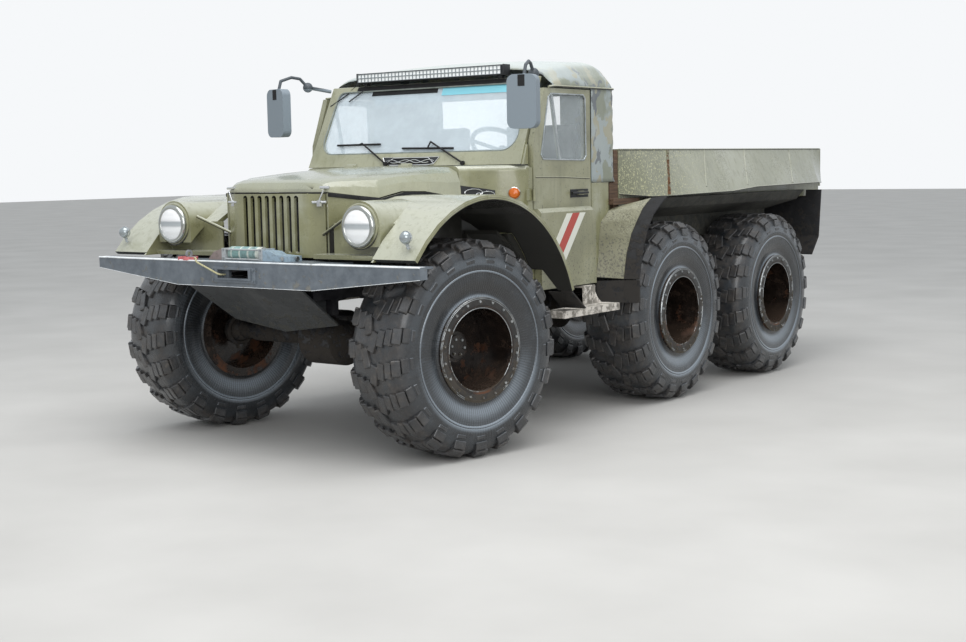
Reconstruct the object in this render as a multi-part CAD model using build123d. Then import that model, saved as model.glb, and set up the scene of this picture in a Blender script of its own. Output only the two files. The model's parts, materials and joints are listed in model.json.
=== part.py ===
from build123d import *
import math
import os

# A lifted off-road 6x6 pickup. Millimetres, +Z up, the nose faces -Y and the driver's side is +X.
# Every solid is drawn with y = 0 on the front axle and moved by FRONT_AXLE_Y when it is written,
# which puts the origin on the ground in the middle of the whole vehicle.
FRONT_AXLE_Y = -1941.5
MID_AXLE = 2080.0
REAR_AXLE = 3410.0

# Wheels
TYRE_R = 550.0
TREAD_HALF = 165.0
TYRE_HALF = 205.0
BEAD_R = 229.0
LUGS = 21
LUG_TOP = math.radians(5.2)
LUG_DEPTH = 28.0
SHOULDER_SCALE = 0.87
SIDEWALL_R = 330.0
BORE_SIDES = 30
HUB_Z = TYRE_R
KINGPIN_X = 712.0
WHEEL_OFFSET = 153.0
REAR_TRACK_HALF = 800.0
REST_STEER = 11.5
DISC_W = -60.0
HUB_W = 10.0
SPINDLE_R = 37.0

# Steering balls and knuckles
BALL_R = 62.0
SOCKET_R = 67.0
KNUCKLE_R = 88.0

# Ladder frame
RAIL_X0 = 310.0
RAIL_X1 = 370.0
RAIL_Z0 = 800.0
RAIL_Z1 = 920.0
RAIL_Y0 = -535.0
RAIL_Y1 = 4420.0
CROSS_MEMBERS = (-492.0, 1480.0, 2250.0, 3150.0, 4380.0)
TOW_BORE_R = 16.0

# Leaf packs: y of the two ends, height of the middle's underside
SPRINGS = ((-370.0, 470.0, 640.0), (MID_AXLE - 20, REAR_AXLE + 20, 660.0))
SPRING_RISE = 34.0
LEAVES = 4
LEAF_T = 11.0
SPRING_END_TOP = LEAVES * LEAF_T + SPRING_RISE
REAR_PAD = 169.0

# Cab
CAB_X = 820.0
PILLAR_X = 776.0
CAB_FLOOR_Z = 940.0
COWL_Z = 1460.0
COWL_Y0 = 430.0
SCREEN_Y = 715.0
SCREEN_TOP_Z = 1945.0
DOOR_Y0 = 755.0
DOOR_Y1 = 1335.0
DOOR_Z0 = 775.0
DOOR_TOP_Z = 1878.0
CAB_REAR_Y = 1585.0
QUARTER_Y1 = 1530.0
SILL_Y1 = 1540.0
DOOR_IN_X = 785.0
DOOR_BULGE_X = 868.0
BULGE_TOP_Z = 1218.0
HINGE_X = 835.0
HINGE_Y = 740.0
HINGE_ZS = (1296.0, 950.0)
WALL = 20.0
TOE_X = 600.0
CANVAS_HEM_Z = 1352.0

# Front sheet metal
FENDER_OUT_X = 1067.0
NOTCH_X = 805.0
NOTCH_Y = -400.0
ARCH_Y = 30.0
ARCH_Z = 530.0
ARCH_R = 762.0
FENDER_T = 24.0
ARCH_FRONT = 141.0
ARCH_REAR = 19.0
GRILLE_Y = -438.0
LAMP_X = 665.0
LAMP_Z = 1175.0
POD_FACE_Y = -500.0
POD_R = 125.0
POD_Z0 = 1034.0

# Bumper
BUMPER_HALF = 1140.0
BUMPER_FLAT_HALF = 480.0
BUMPER_TOP_Z = 997.0
BUMPER_Y = -660.0
BUMPER_END_Y = -632.0

# Cargo bed
BED_Y0 = 1640.0
BED_Y1 = 4515.0
BED_X = 822.0
BED_FLOOR_Z = 1215.0
BED_TOP_Z = 1542.0
TAILGATE_T = 30.0


def box(x0, x1, y0, y1, z0, z1):
    """A plain block between two corners."""
    return Pos((x0 + x1) / 2, (y0 + y1) / 2, (z0 + z1) / 2) * Box(x1 - x0, y1 - y0, z1 - z0)


def rod(start, end, radius):
    """A round bar from one point to another."""
    a = Vector(*start)
    b = Vector(*end)
    plane = Plane(origin=a, z_dir=b - a)
    return extrude(plane * Circle(radius), (b - a).length)


def outline(corners, round_by=0.0):
    """A flat face through its corners, each rounded by the same radius."""
    face = make_face(Polyline(corners, close=True)).face()
    if round_by > 0:
        face = face.fillet_2d(round_by, face.vertices())
    return face


def side_plate(points, x0, x1, round_by=0.0):
    """A flat outline of (y, z) corners, thick from x0 to x1."""
    return extrude(outline([(x0, y, z) for y, z in points], round_by), x1 - x0, dir=(1, 0, 0))


def front_plate(points, y0, y1, round_by=0.0):
    """A flat outline of (x, z) corners, thick from y0 to y1."""
    return extrude(outline([(x, y0, z) for x, z in points], round_by), y1 - y0, dir=(0, 1, 0))


def plan_plate(points, z0, z1):
    """A flat outline of (x, y) corners, thick from z0 to z1."""
    return extrude(outline([(x, y, z0) for x, y in points]), z1 - z0, dir=(0, 0, 1))


def ring_x(x0, x1, r_in, r_out, y=0.0, z=0.0):
    """A ring about a line along X, or a disc where r_in is 0."""
    plane = Plane(origin=(x0, y, z), x_dir=(0, 1, 0), z_dir=(1, 0, 0))
    shape = extrude(plane * Circle(r_out), x1 - x0)
    if r_in > 0:
        shape -= extrude(plane * Circle(r_in), x1 - x0)
    return shape


def lathe_x(profile):
    """Turns an outline of (x, radius) corners about the X axis."""
    face = make_face(Polyline([(x, 0, r) for x, r in profile], close=True))
    return revolve(face, Axis.X, 360)


def lathe_y(profile, x, z):
    """Turns an outline of (radius, y) corners about a line along Y."""
    face = make_face(Polyline([(r, y, 0) for r, y in profile], close=True))
    return Pos(x, 0, z) * revolve(face, Axis.Y, 360)


def arc_band(centre_y, centre_z, r_in, r_out, start, end, steps, x0, x1):
    """A curved sheet along an arc in side view, from start to end in degrees."""
    angles = [math.radians(start + (end - start) * i / steps) for i in range(steps + 1)]
    points = [(centre_y + r_in * math.cos(a), centre_z + r_in * math.sin(a)) for a in angles]
    points += [(centre_y + r_out * math.cos(a), centre_z + r_out * math.sin(a)) for a in reversed(angles)]
    return side_plate(points, x0, x1)


def mirrored(shape):
    """The same piece on the other side of the vehicle."""
    return mirror(shape, about=Plane.YZ)


def group(*shapes):
    """Separate solids of one node."""
    return Compound([s for shape in shapes for s in shape.solids()])


def both(shape):
    """A piece and its mirror image as separate solids of one node."""
    return group(shape, mirrored(shape))


parts = {}


def keep(name, shape):
    parts[name] = shape


# Wheels, drawn about the X axis with the outer side at +X
def lug_ring(x, scale, phase):
    """The tread's outline at x: flat-topped lugs with a groove between each two."""
    pitch = 2 * math.pi / LUGS
    top = TYRE_R / math.cos(pitch / 2 - LUG_TOP) * scale
    groove = top - LUG_DEPTH * scale
    points = []
    for i in range(LUGS):
        middle = pitch * (i + phase) - math.pi / 2
        for r, a in ((top, middle - LUG_TOP), (top, middle + LUG_TOP), (groove, middle + pitch / 2)):
            points.append((x, r * math.cos(a), r * math.sin(a)))
    return outline(points)


def bore_ring(x, flat_r):
    """A many-sided hole whose flats lie flat_r from the axle."""
    r = flat_r / math.cos(math.pi / BORE_SIDES)
    angles = [2 * math.pi * i / BORE_SIDES for i in range(BORE_SIDES)]
    return outline([(x, r * math.cos(a), r * math.sin(a)) for a in angles])


def tyre_shape():
    # Two halves whose lugs are staggered by half a pitch
    tyre = None
    for side, phase in ((1, 0.5), (-1, 0.0)):
        edge = side * TREAD_HALF
        end = side * TYRE_HALF
        half = extrude(lug_ring(0, 1.0, phase), TREAD_HALF, dir=(side, 0, 0))
        half += loft([lug_ring(edge, 1.0, phase), lug_ring(end, SHOULDER_SCALE, phase)], ruled=True)
        half -= extrude(bore_ring(0, BEAD_R), TREAD_HALF, dir=(side, 0, 0))
        half -= loft([bore_ring(edge, BEAD_R), bore_ring(end, SIDEWALL_R)], ruled=True)
        tyre = half if tyre is None else tyre + half
    return tyre


def rim_shape():
    barrel = ring_x(-184, 184, 216, 228.5)
    lock_ring = ring_x(184, 204, 207, 262)
    inner_flange = ring_x(-196, -184, 216, 262)
    disc = ring_x(DISC_W, DISC_W + 14, 60, 217)
    hub = ring_x(DISC_W, HUB_W, SPINDLE_R + 1, 78)
    cap = ring_x(HUB_W, HUB_W + 16, 0, 60)
    return barrel + lock_ring + inner_flange + disc + hub + cap


def wheel_place(side, y, x, steer=0.0):
    """Where a wheel sits: side is 1 for the left and -1 for the right."""
    turn = 0 if side > 0 else 180
    kingpin = Pos(side * KINGPIN_X, y, HUB_Z) * Rot(0, 0, -steer)
    return kingpin * Pos(side * (x - KINGPIN_X), 0, 0) * Rot(0, 0, turn)


WHEELS = [
    # name, side, axle y, wheel centre x, steer angle to the vehicle's right
    ("front_left", 1, 0.0, KINGPIN_X + WHEEL_OFFSET, REST_STEER),
    ("front_right", -1, 0.0, KINGPIN_X + WHEEL_OFFSET, REST_STEER),
    ("mid_left", 1, MID_AXLE, REAR_TRACK_HALF, 0.0),
    ("mid_right", -1, MID_AXLE, REAR_TRACK_HALF, 0.0),
    ("rear_left", 1, REAR_AXLE, REAR_TRACK_HALF, 0.0),
    ("rear_right", -1, REAR_AXLE, REAR_TRACK_HALF, 0.0),
]


def wheels():
    tyre = tyre_shape()
    rim = rim_shape()
    for name, side, y, x, steer in WHEELS:
        place = wheel_place(side, y, x, steer)
        keep("tyre_" + name, place * tyre)
        keep("rim_" + name, place * rim)


# Steering knuckles, drawn about the kingpin with the wheel at +X
def knuckle_shape():
    shell = Sphere(KNUCKLE_R) - Sphere(SOCKET_R)
    shell -= box(-200, -8, -200, 200, -200, 200)
    spindle = ring_x(SOCKET_R + 5, WHEEL_OFFSET + HUB_W - 2, 0, SPINDLE_R)
    arm = box(-6, 34, 62, 172, -60, -36)
    shape = shell + spindle + arm
    for z in (-1, 1):
        shape += Pos(0, 0, z * (KNUCKLE_R + 4)) * Cylinder(24, 24)
    return shape


def knuckles():
    shape = knuckle_shape()
    for name, side in (("left", 1), ("right", -1)):
        turned = shape if side > 0 else mirrored(shape)
        keep("knuckle_" + name, Pos(side * KINGPIN_X, 0, HUB_Z) * Rot(0, 0, -REST_STEER) * turned)


# Axles
NOSE_END = 185.0


def axle_beam(half, tube_r, noses):
    """A beam with its differential bulb, and a pinion nose towards each listed side of Y."""
    beam = ring_x(-half, half, 0, tube_r)
    beam += lathe_x([(-190, 0), (-190, 60), (-110, 150), (110, 150), (190, 60), (190, 0)])
    for side in noses:
        beam += rod((0, side * 100, 0), (0, side * NOSE_END, 0), 50)
    return beam


def spring_seats(top):
    """Pads on an axle beam that carry the leaf packs."""
    pad = box(RAIL_X0 + 4, RAIL_X1 - 4, -44, 44, 40, top)
    return pad + mirrored(pad)


def axles():
    front = axle_beam(572, 52, (1,))
    for side in (-1, 1):
        front += ring_x(*sorted((side * 560, side * (KINGPIN_X - 20))), 0, 42)
        front += Pos(side * KINGPIN_X, 0, 0) * Sphere(BALL_R)
    front += spring_seats(SPRINGS[0][2] - HUB_Z - 1)
    keep("front_axle", Pos(0, 0, HUB_Z) * front)
    end = REAR_TRACK_HALF + DISC_W - 6
    spindle = ring_x(-REAR_TRACK_HALF - HUB_W + 2, REAR_TRACK_HALF + HUB_W - 2, 0, SPINDLE_R)
    flange = ring_x(end - 18, end, 0, 96)
    beams = []
    for y, noses in ((MID_AXLE, (-1, 1)), (REAR_AXLE, (-1,))):
        beam = axle_beam(end, 62, noses) + spindle + flange + mirrored(flange)
        beam += spring_seats(REAR_PAD)
        beams.append(Pos(0, y, HUB_Z) * beam)
    keep("rear_axles", group(*beams))


def leaf_pack(y0, y1, z):
    """A pack of leaves in side view, the lower ones shorter, so that its underside is stepped."""
    mid = (y0 + y1) / 2
    half = (y1 - y0) / 2

    def top(t):
        return z + LEAVES * LEAF_T + SPRING_RISE * t * t

    upper = [(mid + half * i / 5, top(i / 5)) for i in range(-5, 6)]
    steps = []
    for i in range(LEAVES):
        t = 1 - 0.2 * i
        if i > 0:
            steps.append((mid + half * t, top(t) - LEAF_T * i))
        steps.append((mid + half * t, top(t) - LEAF_T * (i + 1)))
    left = [(2 * mid - y, height) for y, height in reversed(steps)]
    return side_plate(upper + steps + [(mid, z)] + left, RAIL_X0 + 2, RAIL_X1 - 2)


def springs():
    packs = [leaf_pack(*row) for row in SPRINGS]
    # The rear packs turn on a trunnion block under the frame
    trunnion_y = (MID_AXLE + REAR_AXLE) / 2
    block = box(RAIL_X0 + 6, RAIL_X1 - 6, trunnion_y - 60, trunnion_y + 60, 690, RAIL_Z0 - 0.3)
    packs[1] += block
    keep("springs", group(*[both(p) for p in packs]))


GEARBOX_Z0 = 720.0
TRANSFER_Y = (900.0, 1290.0)
SHAFT_Z = 680.0


def driveshafts():
    gap = 8.0
    shafts = [
        rod((0, NOSE_END + gap, HUB_Z), (0, TRANSFER_Y[0] - gap, SHAFT_Z), 32),
        rod((0, TRANSFER_Y[1] + gap, SHAFT_Z), (0, MID_AXLE - NOSE_END - gap, HUB_Z), 32),
        rod((0, MID_AXLE + NOSE_END + 1, HUB_Z), (0, REAR_AXLE - NOSE_END - 1, HUB_Z), 32),
    ]
    keep("driveshafts", group(*shafts))


def frame_shape():
    rail = box(RAIL_X0, RAIL_X1, RAIL_Y0, RAIL_Y1, RAIL_Z0, RAIL_Z1)
    shape = rail + mirrored(rail)
    for y in CROSS_MEMBERS:
        shape += box(-RAIL_X1, RAIL_X1, y - 40, y + 40, RAIL_Z0 + 10, RAIL_Z1 - 10)
    for y0, y1, z in SPRINGS:
        for y in (y0, y1):
            hanger = box(RAIL_X0 + 4, RAIL_X1 - 4, y - 26, y + 26, z + SPRING_END_TOP + 1, RAIL_Z0 + 2)
            shape += hanger + mirrored(hanger)
    # Tow pin's bore through the rear cross member
    middle_z = (RAIL_Z0 + RAIL_Z1) / 2
    shape -= rod((0, CROSS_MEMBERS[-1] - 60, middle_z), (0, CROSS_MEMBERS[-1] + 60, middle_z), TOW_BORE_R)
    return shape


def engine_shape():
    block = box(-230, 230, -240, 400, 780, 1230)
    gearbox = box(-150, 150, 399, TRANSFER_Y[0] + 1, GEARBOX_Z0, 905)
    transfer = box(-150, 150, *TRANSFER_Y, 640, 905)
    radiator = box(-270, 270, -375, -325, 1012, 1290)
    return group(block + gearbox + transfer, radiator)


# Bumper, winch and skid plate
FAIRLEAD_X = (-210.0, 106.0)
FAIRLEAD_Z = (891.0, 969.0)
SLOT_X = (-160.0, 60.0)
SLOT_Z = (914.0, 957.0)

# The winch rope, pulled tight from the slot up to its hook on the bumper's top edge
ROPE_R = 4.5
ROPE_X = -140.0
ROPE_Y0 = BUMPER_Y + 22
HOOK_X = -352.0
ROPE_POINTS = [(ROPE_X, ROPE_Y0, 929), (ROPE_X, BUMPER_Y - 16, 929), (HOOK_X + 34, BUMPER_Y - 16, 994),
               (HOOK_X + 18, BUMPER_Y + 8, 1009), (HOOK_X, BUMPER_Y + 8, 1009)]
ROPE_RADII = [9.0, 14.0, 10.0]


def bumper_section(x, y, low_z):
    """The bumper's angle section at x: its face and its top flange."""
    back = y + 96
    points = [(y, low_z), (y, BUMPER_TOP_Z), (back, BUMPER_TOP_Z), (back, BUMPER_TOP_Z - 10),
              (y + 12, BUMPER_TOP_Z - 10), (y + 12, low_z)]
    return outline([(x, py, pz) for py, pz in points])


def bumper_shape():
    middle = bumper_section(-BUMPER_FLAT_HALF, BUMPER_Y, 868)
    shape = extrude(middle, 2 * BUMPER_FLAT_HALF, dir=(1, 0, 0))
    wing = loft([bumper_section(BUMPER_FLAT_HALF, BUMPER_Y, 868),
                 bumper_section(BUMPER_HALF, BUMPER_END_Y, 938)], ruled=True)
    cap = box(BUMPER_HALF - 10, BUMPER_HALF, BUMPER_END_Y, BUMPER_END_Y + 52, 938, BUMPER_TOP_Z)
    shelf = box(-560, 560, BUMPER_Y + 80, GRILLE_Y - 2, BUMPER_TOP_Z - 10, BUMPER_TOP_Z)
    bracket = box(RAIL_X0, RAIL_X1, BUMPER_Y + 11, RAIL_Y0 - 0.5, RAIL_Z0 + 80, BUMPER_TOP_Z - 9)
    fairlead = box(*FAIRLEAD_X, BUMPER_Y - 8, BUMPER_Y + 2, *FAIRLEAD_Z)
    shape += wing + mirrored(wing) + cap + mirrored(cap) + shelf + bracket + mirrored(bracket) + fairlead
    shape -= box(*SLOT_X, BUMPER_Y - 20, BUMPER_Y + 20, *SLOT_Z)
    # A guide behind the slot that the rope comes out of
    guide = box(SLOT_X[0] - 15, ROPE_X + 25, BUMPER_Y + 11, ROPE_Y0 + 20, SLOT_Z[0] - 10, SLOT_Z[1] + 10)
    guide -= box(SLOT_X[0], ROPE_X + 26, BUMPER_Y - 20, ROPE_Y0, *SLOT_Z)
    return shape + guide


def skid_shape():
    # Two sloping facets each side of a keel, each a triangle made thick upwards and rearwards
    top_y, top_z, low_y, low_z, keel = -645.0, 862.0, -355.0, 662.0, 50.0
    half_top, half_low, thick = 400.0, 370.0, 11.0
    shape = None
    for side in (-1, 1):
        top_mid = (0, top_y, top_z)
        top_end = (side * half_top, top_y, top_z)
        low_end = (side * half_low, low_y, low_z)
        low_mid = (0, low_y, low_z - keel)
        for corners in ((top_mid, top_end, low_end), (top_mid, low_end, low_mid)):
            facet = extrude(outline(list(corners)), thick, dir=(0, 0.7, 0.7))
            shape = facet if shape is None else shape + facet
    # Gussets that hang it from the frame rails
    gusset = side_plate([(-628, 858), (-420, 712), (-420, 797), (-541, 797), (-600, 864)], 342, 352)
    return shape + gusset + mirrored(gusset)


def rope_shape():
    line = FilletPolyline(*ROPE_POINTS, radius=ROPE_RADII)
    start = Plane(origin=line @ 0, z_dir=line % 0)
    tube = sweep(start * Circle(ROPE_R), path=line)
    share = tube.volume / (math.pi * ROPE_R ** 2 * line.length)
    print("rope", round(line.length, 1), "mm long, volume", round(share, 4), "of its section by length")
    return tube


def hook_shape():
    # A flat hook lying on the bumper's top edge, its mouth to the front, with a spring keeper's eye
    y, z = BUMPER_Y + 14, BUMPER_TOP_Z + 0.5
    plate = extrude(Plane(origin=(HOOK_X - 74, y + 18, z)) * Circle(52), 16)
    plate -= extrude(Plane(origin=(HOOK_X - 78, y + 12, z)) * Circle(28), 16)
    plate -= box(HOOK_X - 106, HOOK_X - 58, y - 48, y + 4, z - 1, z + 22)
    shank = box(HOOK_X - 30, HOOK_X, y - 12, y + 12, z, z + 20)
    eye = ring_x(HOOK_X - 52, HOOK_X - 42, 12, 21, y + 2, z + 32)
    return plate + shank + eye


WINCH_Y = -520.0
WINCH_Z = 1030.0


def winch_shape():
    base_z = BUMPER_TOP_Z + 0.5
    y0, y1 = WINCH_Y - 46, WINCH_Y + 44
    shape = ring_x(-214, 34, 0, 30, WINCH_Y, WINCH_Z)
    for x0, x1 in ((-238, -210), (30, 58)):
        shape += box(x0, x1, y0, y1, base_z, 1058)
    # The gearbox slopes down at the left end and the motor's cover steps down at the right end
    shape += front_plate([(-345, base_z), (-300, 1038), (-238, 1056), (-237, base_z)], y0 + 4, y1 - 4)
    cover = [(57, base_z), (58, 1050), (112, 1046), (146, 1030), (250, 1024), (250, base_z)]
    shape += front_plate(cover, y0 + 4, y1 - 4)
    for z in (base_z + 5, 1052):
        shape += rod((-212, WINCH_Y - 40, z), (32, WINCH_Y - 40, z), 5)
    return shape


# Front sheet metal
def grille_shape():
    front = [(-345, -400), (-285, -424), (-262, GRILLE_Y), (262, GRILLE_Y), (285, -424), (345, -400)]
    back = [(345, -384), (280, -408), (258, -420), (-258, -420), (-280, -408), (-345, -384)]
    panel = plan_plate(front + back, 1010, 1338)
    pitch, half_width = 52.0, 15.0
    for i in range(8):
        x = (i - 3.5) * pitch
        ends = [(x - half_width, 1032), (x + half_width, 1032), (x + half_width, 1324), (x - half_width, 1324)]
        panel -= front_plate(ends, GRILLE_Y - 10, GRILLE_Y + 40, half_width - 0.5)
    # Brace bars run from the grille's corners up to the lamp pods
    brace = rod((330, -402, 1128), (LAMP_X - POD_R - 6, -456, 1216), 8)
    return panel + brace + mirrored(brace)


BONNET_HINGE_Y = 424.0
BONNET_HINGE_Z = 1472.0

# Bonnet stations: y, half width, height of the edge, height of the crown
BONNET = [(-404, 338, 1341, 1358), (-385, 345, 1341, 1390), (-340, 372, 1334, 1407), (-256, 420, 1321, 1414),
          (-163, 500, 1306, 1421), (-4, 515, 1335, 1432), (160, 540, 1331, 1444), (339, 560, 1303, 1457),
          (424, 575, 1300, 1464)]


def bonnet_section(y, width, edge, crown, inset):
    """A boxy arch with rounded shoulders, closed flat across its lower edge."""
    rise = crown - edge
    half = [(width - inset, 0.0), (width - 6 - inset, 0.45 * rise)]
    half += [(width - 28 - inset, 0.78 * rise - 0.6 * inset), (width - 75 - 0.4 * inset, 0.93 * rise - inset)]
    half += [(width * 0.5, 0.985 * rise - inset)]
    points = [(x, y, edge + z) for x, z in half]
    points.append((0, y, crown - inset))
    points += [(-x, y, edge + z) for x, z in reversed(half)]
    return outline(points)


def bonnet_shape():
    shape = loft([bonnet_section(*row, 0) for row in BONNET], ruled=True)
    inner = loft([bonnet_section(*row, 14) for row in BONNET[1:]], ruled=True)
    y, width, edge, crown = BONNET[-1]
    mouth = [bonnet_section(y, width, edge, crown, 14), bonnet_section(y + 10, width, edge, crown, 14)]
    below = [bonnet_section(y, width, edge - 60, edge - 1, 14) for y, width, edge, crown in BONNET[1:]]
    shape = shape - inner - loft(mouth, ruled=True) - loft(below, ruled=True)
    # Hinge barrels on the line that it turns about, at the rear edge
    for x in (-200, 200):
        shape += rod((x - 35, BONNET_HINGE_Y, BONNET_HINGE_Z), (x + 35, BONNET_HINGE_Y, BONNET_HINGE_Z), 7)
        shape += box(x - 35, x + 35, BONNET_HINGE_Y - 30, BONNET_HINGE_Y, 1454, BONNET_HINGE_Z)
    return shape


# Engine bay side panel in plan, below the bonnet's edge: x, y, top z
BAY_PANEL = [(352, -396, 1338), (426, -252, 1318), (506, -160, 1303), (520, -4, 1329), (545, 160, 1326),
             (562, 339, 1300), (562, 428, 1297)]
BAY_T = 10.0
BAY_Z0 = 1000.0


def bay_panel():
    """The upright sheet from the grille's corner to the cowl, one short wall for each run."""
    shape = None
    for (xa, ya, za), (xb, yb, zb) in zip(BAY_PANEL, BAY_PANEL[1:]):
        ends = []
        for x, y, z in ((xa, ya, za), (xb, yb, zb)):
            ends.append(outline([(x, y, BAY_Z0), (x, y, z), (x + BAY_T, y, z), (x + BAY_T, y, BAY_Z0)]))
        wall = loft(ends, ruled=True)
        shape = wall if shape is None else shape + wall
    return shape


def cab_envelope():
    """The plan area that the cab takes, which the fenders stay out of."""
    plan = [(0, 429), (563, 429), (643, 559), (723, 659), (812, 711), (823, 713), (823, 1000), (0, 1000)]
    return plan_plate(plan, 600, 1500) + box(0, 825, 498, 1000, 600, 1097)


def lamp_pod():
    arch = [math.radians(15 * i) for i in range(13)]
    points = [(LAMP_X + POD_R * math.cos(a), LAMP_Z + POD_R * math.sin(a)) for a in arch]
    points += [(LAMP_X - POD_R, POD_Z0), (LAMP_X + POD_R, POD_Z0)]
    pod = front_plate(points, POD_FACE_Y, -180)
    return pod - ring_x(400, 1200, 0, ARCH_R, ARCH_Y, ARCH_Z)


def fender_shape():
    # The wide arch, then a notch in its inner front corner for the lamp pod and its ledge
    inner_x = 440.0
    band = arc_band(ARCH_Y, ARCH_Z, ARCH_R, ARCH_R + FENDER_T, ARCH_FRONT, ARCH_REAR, 14, inner_x, FENDER_OUT_X)
    band -= box(0, NOTCH_X, -900, NOTCH_Y, 900, 1400)
    bay_side = plan_plate([(x, y) for x, y, z in BAY_PANEL] + [(0, 428), (0, -396)], 900, 1500)
    band -= bay_side
    ledge = box(352, NOTCH_X + 5, POD_FACE_Y - 4, NOTCH_Y + 12, POD_Z0 - 22, POD_Z0)
    wall = box(400, NOTCH_X + 5, NOTCH_Y, NOTCH_Y + 12, POD_Z0 - 12, 1186)
    step_face = side_plate([(NOTCH_Y + 12, 1188), (-592, 1010), (NOTCH_Y + 12, 1010)], NOTCH_X, NOTCH_X + 12)
    step_face &= ring_x(NOTCH_X, NOTCH_X + 12, 0, ARCH_R + FENDER_T - 2, ARCH_Y, ARCH_Z)
    shape = band + ledge + wall + step_face + lamp_pod() + bay_panel()
    # Room for the cab and, at the rear foot, for the door that swings past it
    door_room = plan_plate([(700, 700), (905, 700), (990, 760), (990, 1000), (700, 1000)], 600, 1300)
    shape -= cab_envelope()
    shape -= door_room
    return both(shape)


def flare_plan(inset):
    """The cab front in plan: firewall, then walls that flare out to the door posts."""
    side = [(560 - inset, COWL_Y0 + inset), (640 - inset, 560 + inset), (720 - inset, 660 + inset),
            (810 - inset, 712 + inset), (810 - inset, 745)]
    return side + [(-x, y) for x, y in reversed(side)]


def cowl_shape():
    # A hollow cab front with rounded shoulders, open behind
    shell = plan_plate(flare_plan(0), 1090, COWL_Z)
    shoulders = [e for e in shell.edges().filter_by_position(Axis.Z, COWL_Z, COWL_Z)
                 if abs(e.center().X) > 570 and e.center().Y < 740]
    shell = fillet(shoulders, 36)
    hollow = plan_plate(flare_plan(WALL), 1080, COWL_Z - WALL)
    hollow += box(-790 + WALL, 790 - WALL, 700, 800, 1080, COWL_Z - WALL)
    shell -= hollow
    firewall = front_plate([(-TOE_X, CAB_FLOOR_Z + 1), (TOE_X, CAB_FLOOR_Z + 1), (TOE_X, 1095), (-TOE_X, 1095)],
                           COWL_Y0 + 5, COWL_Y0 + 5 + WALL)
    post = side_plate([(520, 1060), (620, 965), (688, 800), (DOOR_Y0 - 10, 800), (DOOR_Y0 - 10, 1445),
                       (712, 1445), (690, 1095), (500, 1095)], CAB_X - 30, CAB_X)
    toe_z = CAB_FLOOR_Z + 1
    toe_y = COWL_Y0 + 5
    toe = side_plate([(toe_y, 1095), (toe_y, 1115), (705, 962), (690, toe_z)], TOE_X - 5, CAB_X - 20)
    toe += side_plate([(toe_y, 1110), (toe_y, toe_z), (700, toe_z)], TOE_X - 12, TOE_X)
    dash = box(-760, 760, SCREEN_Y + 10, SCREEN_Y + 60, 1180, COWL_Z - 2)
    shape = shell + firewall + post + mirrored(post) + toe + mirrored(toe) + dash
    for z in HINGE_ZS:
        leaf = box(CAB_X - 2, CAB_X + 5, 684, HINGE_Y - 12, z - 30, z + 30)
        shape += leaf + mirrored(leaf)
    return shape


def cab_floor_shape():
    floor = box(-770, 770, 692, CAB_REAR_Y, CAB_FLOOR_Z - WALL, CAB_FLOOR_Z)
    floor += box(-TOE_X, TOE_X, COWL_Y0, 700, CAB_FLOOR_Z - WALL, CAB_FLOOR_Z)
    sill = box(690, 780, DOOR_Y0 - 8, SILL_Y1, 790, CAB_FLOOR_Z - 5)
    mounts = box(RAIL_X0, RAIL_X1, 700, 760, RAIL_Z1 + 0.3, CAB_FLOOR_Z - 5)
    mounts += box(RAIL_X0, RAIL_X1, 1500, 1560, RAIL_Z1 + 0.3, CAB_FLOOR_Z - 5)
    tunnel = box(-180, 180, COWL_Y0 + 30, 1300, CAB_FLOOR_Z - 5, CAB_FLOOR_Z + 30)
    return floor + sill + mirrored(sill) + tunnel + mounts + mirrored(mounts)


def cab_rear_shape():
    top = CANVAS_HEM_Z - 2
    wall = box(-CAB_X + 35, CAB_X - 35, CAB_REAR_Y - WALL, CAB_REAR_Y, CAB_FLOOR_Z + 1, top)
    # Its lower rear corner is cut off to clear the middle tyre
    front_y = DOOR_Y1 + 10
    side = [(front_y, 800), (QUARTER_Y1 - 30, 800), (QUARTER_Y1, 860), (QUARTER_Y1, top), (front_y, top)]
    quarter = side_plate(side, CAB_X - 35, CAB_X)
    quarter += box(CAB_X - 56, CAB_X - 24, QUARTER_Y1 - 10, CAB_REAR_Y, CAB_FLOOR_Z + 1, top)
    return wall + quarter + mirrored(quarter)


SCREEN_LEAN = (930.0 - SCREEN_Y) / (1935.0 - COWL_Z)


def screen_point(x, z, out):
    """A point on the windscreen's plane, out millimetres in front of it."""
    return (x, SCREEN_Y + (z - COWL_Z) * SCREEN_LEAN - out, z)


def screen_slab(corners, out0, out1, round_low=0.0, round_high=0.0):
    """A slab in the windscreen's plane with its own radius for the lower and the upper corners."""
    face = make_face(Polyline([screen_point(x, z, out0) for x, z in corners], close=True)).face()
    if round_low > 0:
        middle = sum(z for x, z in corners) / len(corners)
        face = face.fillet_2d(round_low, [v for v in face.vertices() if v.Z < middle])
        high = face.vertices().sort_by(Axis.Z)[-2:]
        face = face.fillet_2d(round_high, high)
    return extrude(face, out1 - out0, dir=(0, -1, 0))


def windscreen():
    outer = [(-PILLAR_X - 6, COWL_Z + 2), (PILLAR_X + 6, COWL_Z + 2), (PILLAR_X - 14, SCREEN_TOP_Z),
             (-PILLAR_X + 14, SCREEN_TOP_Z)]
    opening = [(-720, 1538), (720, 1538), (702, 1915), (-702, 1915)]
    pane = [(-718.6, 1539.4), (718.6, 1539.4), (700.6, 1913.6), (-700.6, 1913.6)]
    frame = screen_slab(outer, 0, 30) - screen_slab(opening, -40, 70, 90, 45)
    keep("windscreen_frame", frame)
    keep("windscreen_glass", screen_slab(pane, 12, 18, 90, 45))


# Soft top stations over the cab: y, roof height at the middle
ROOF = [(952, 2008), (985, 2030), (1200, 2068), (1480, 2078), (1552, 2052)]
HEADER_Z = 1888.0


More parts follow.
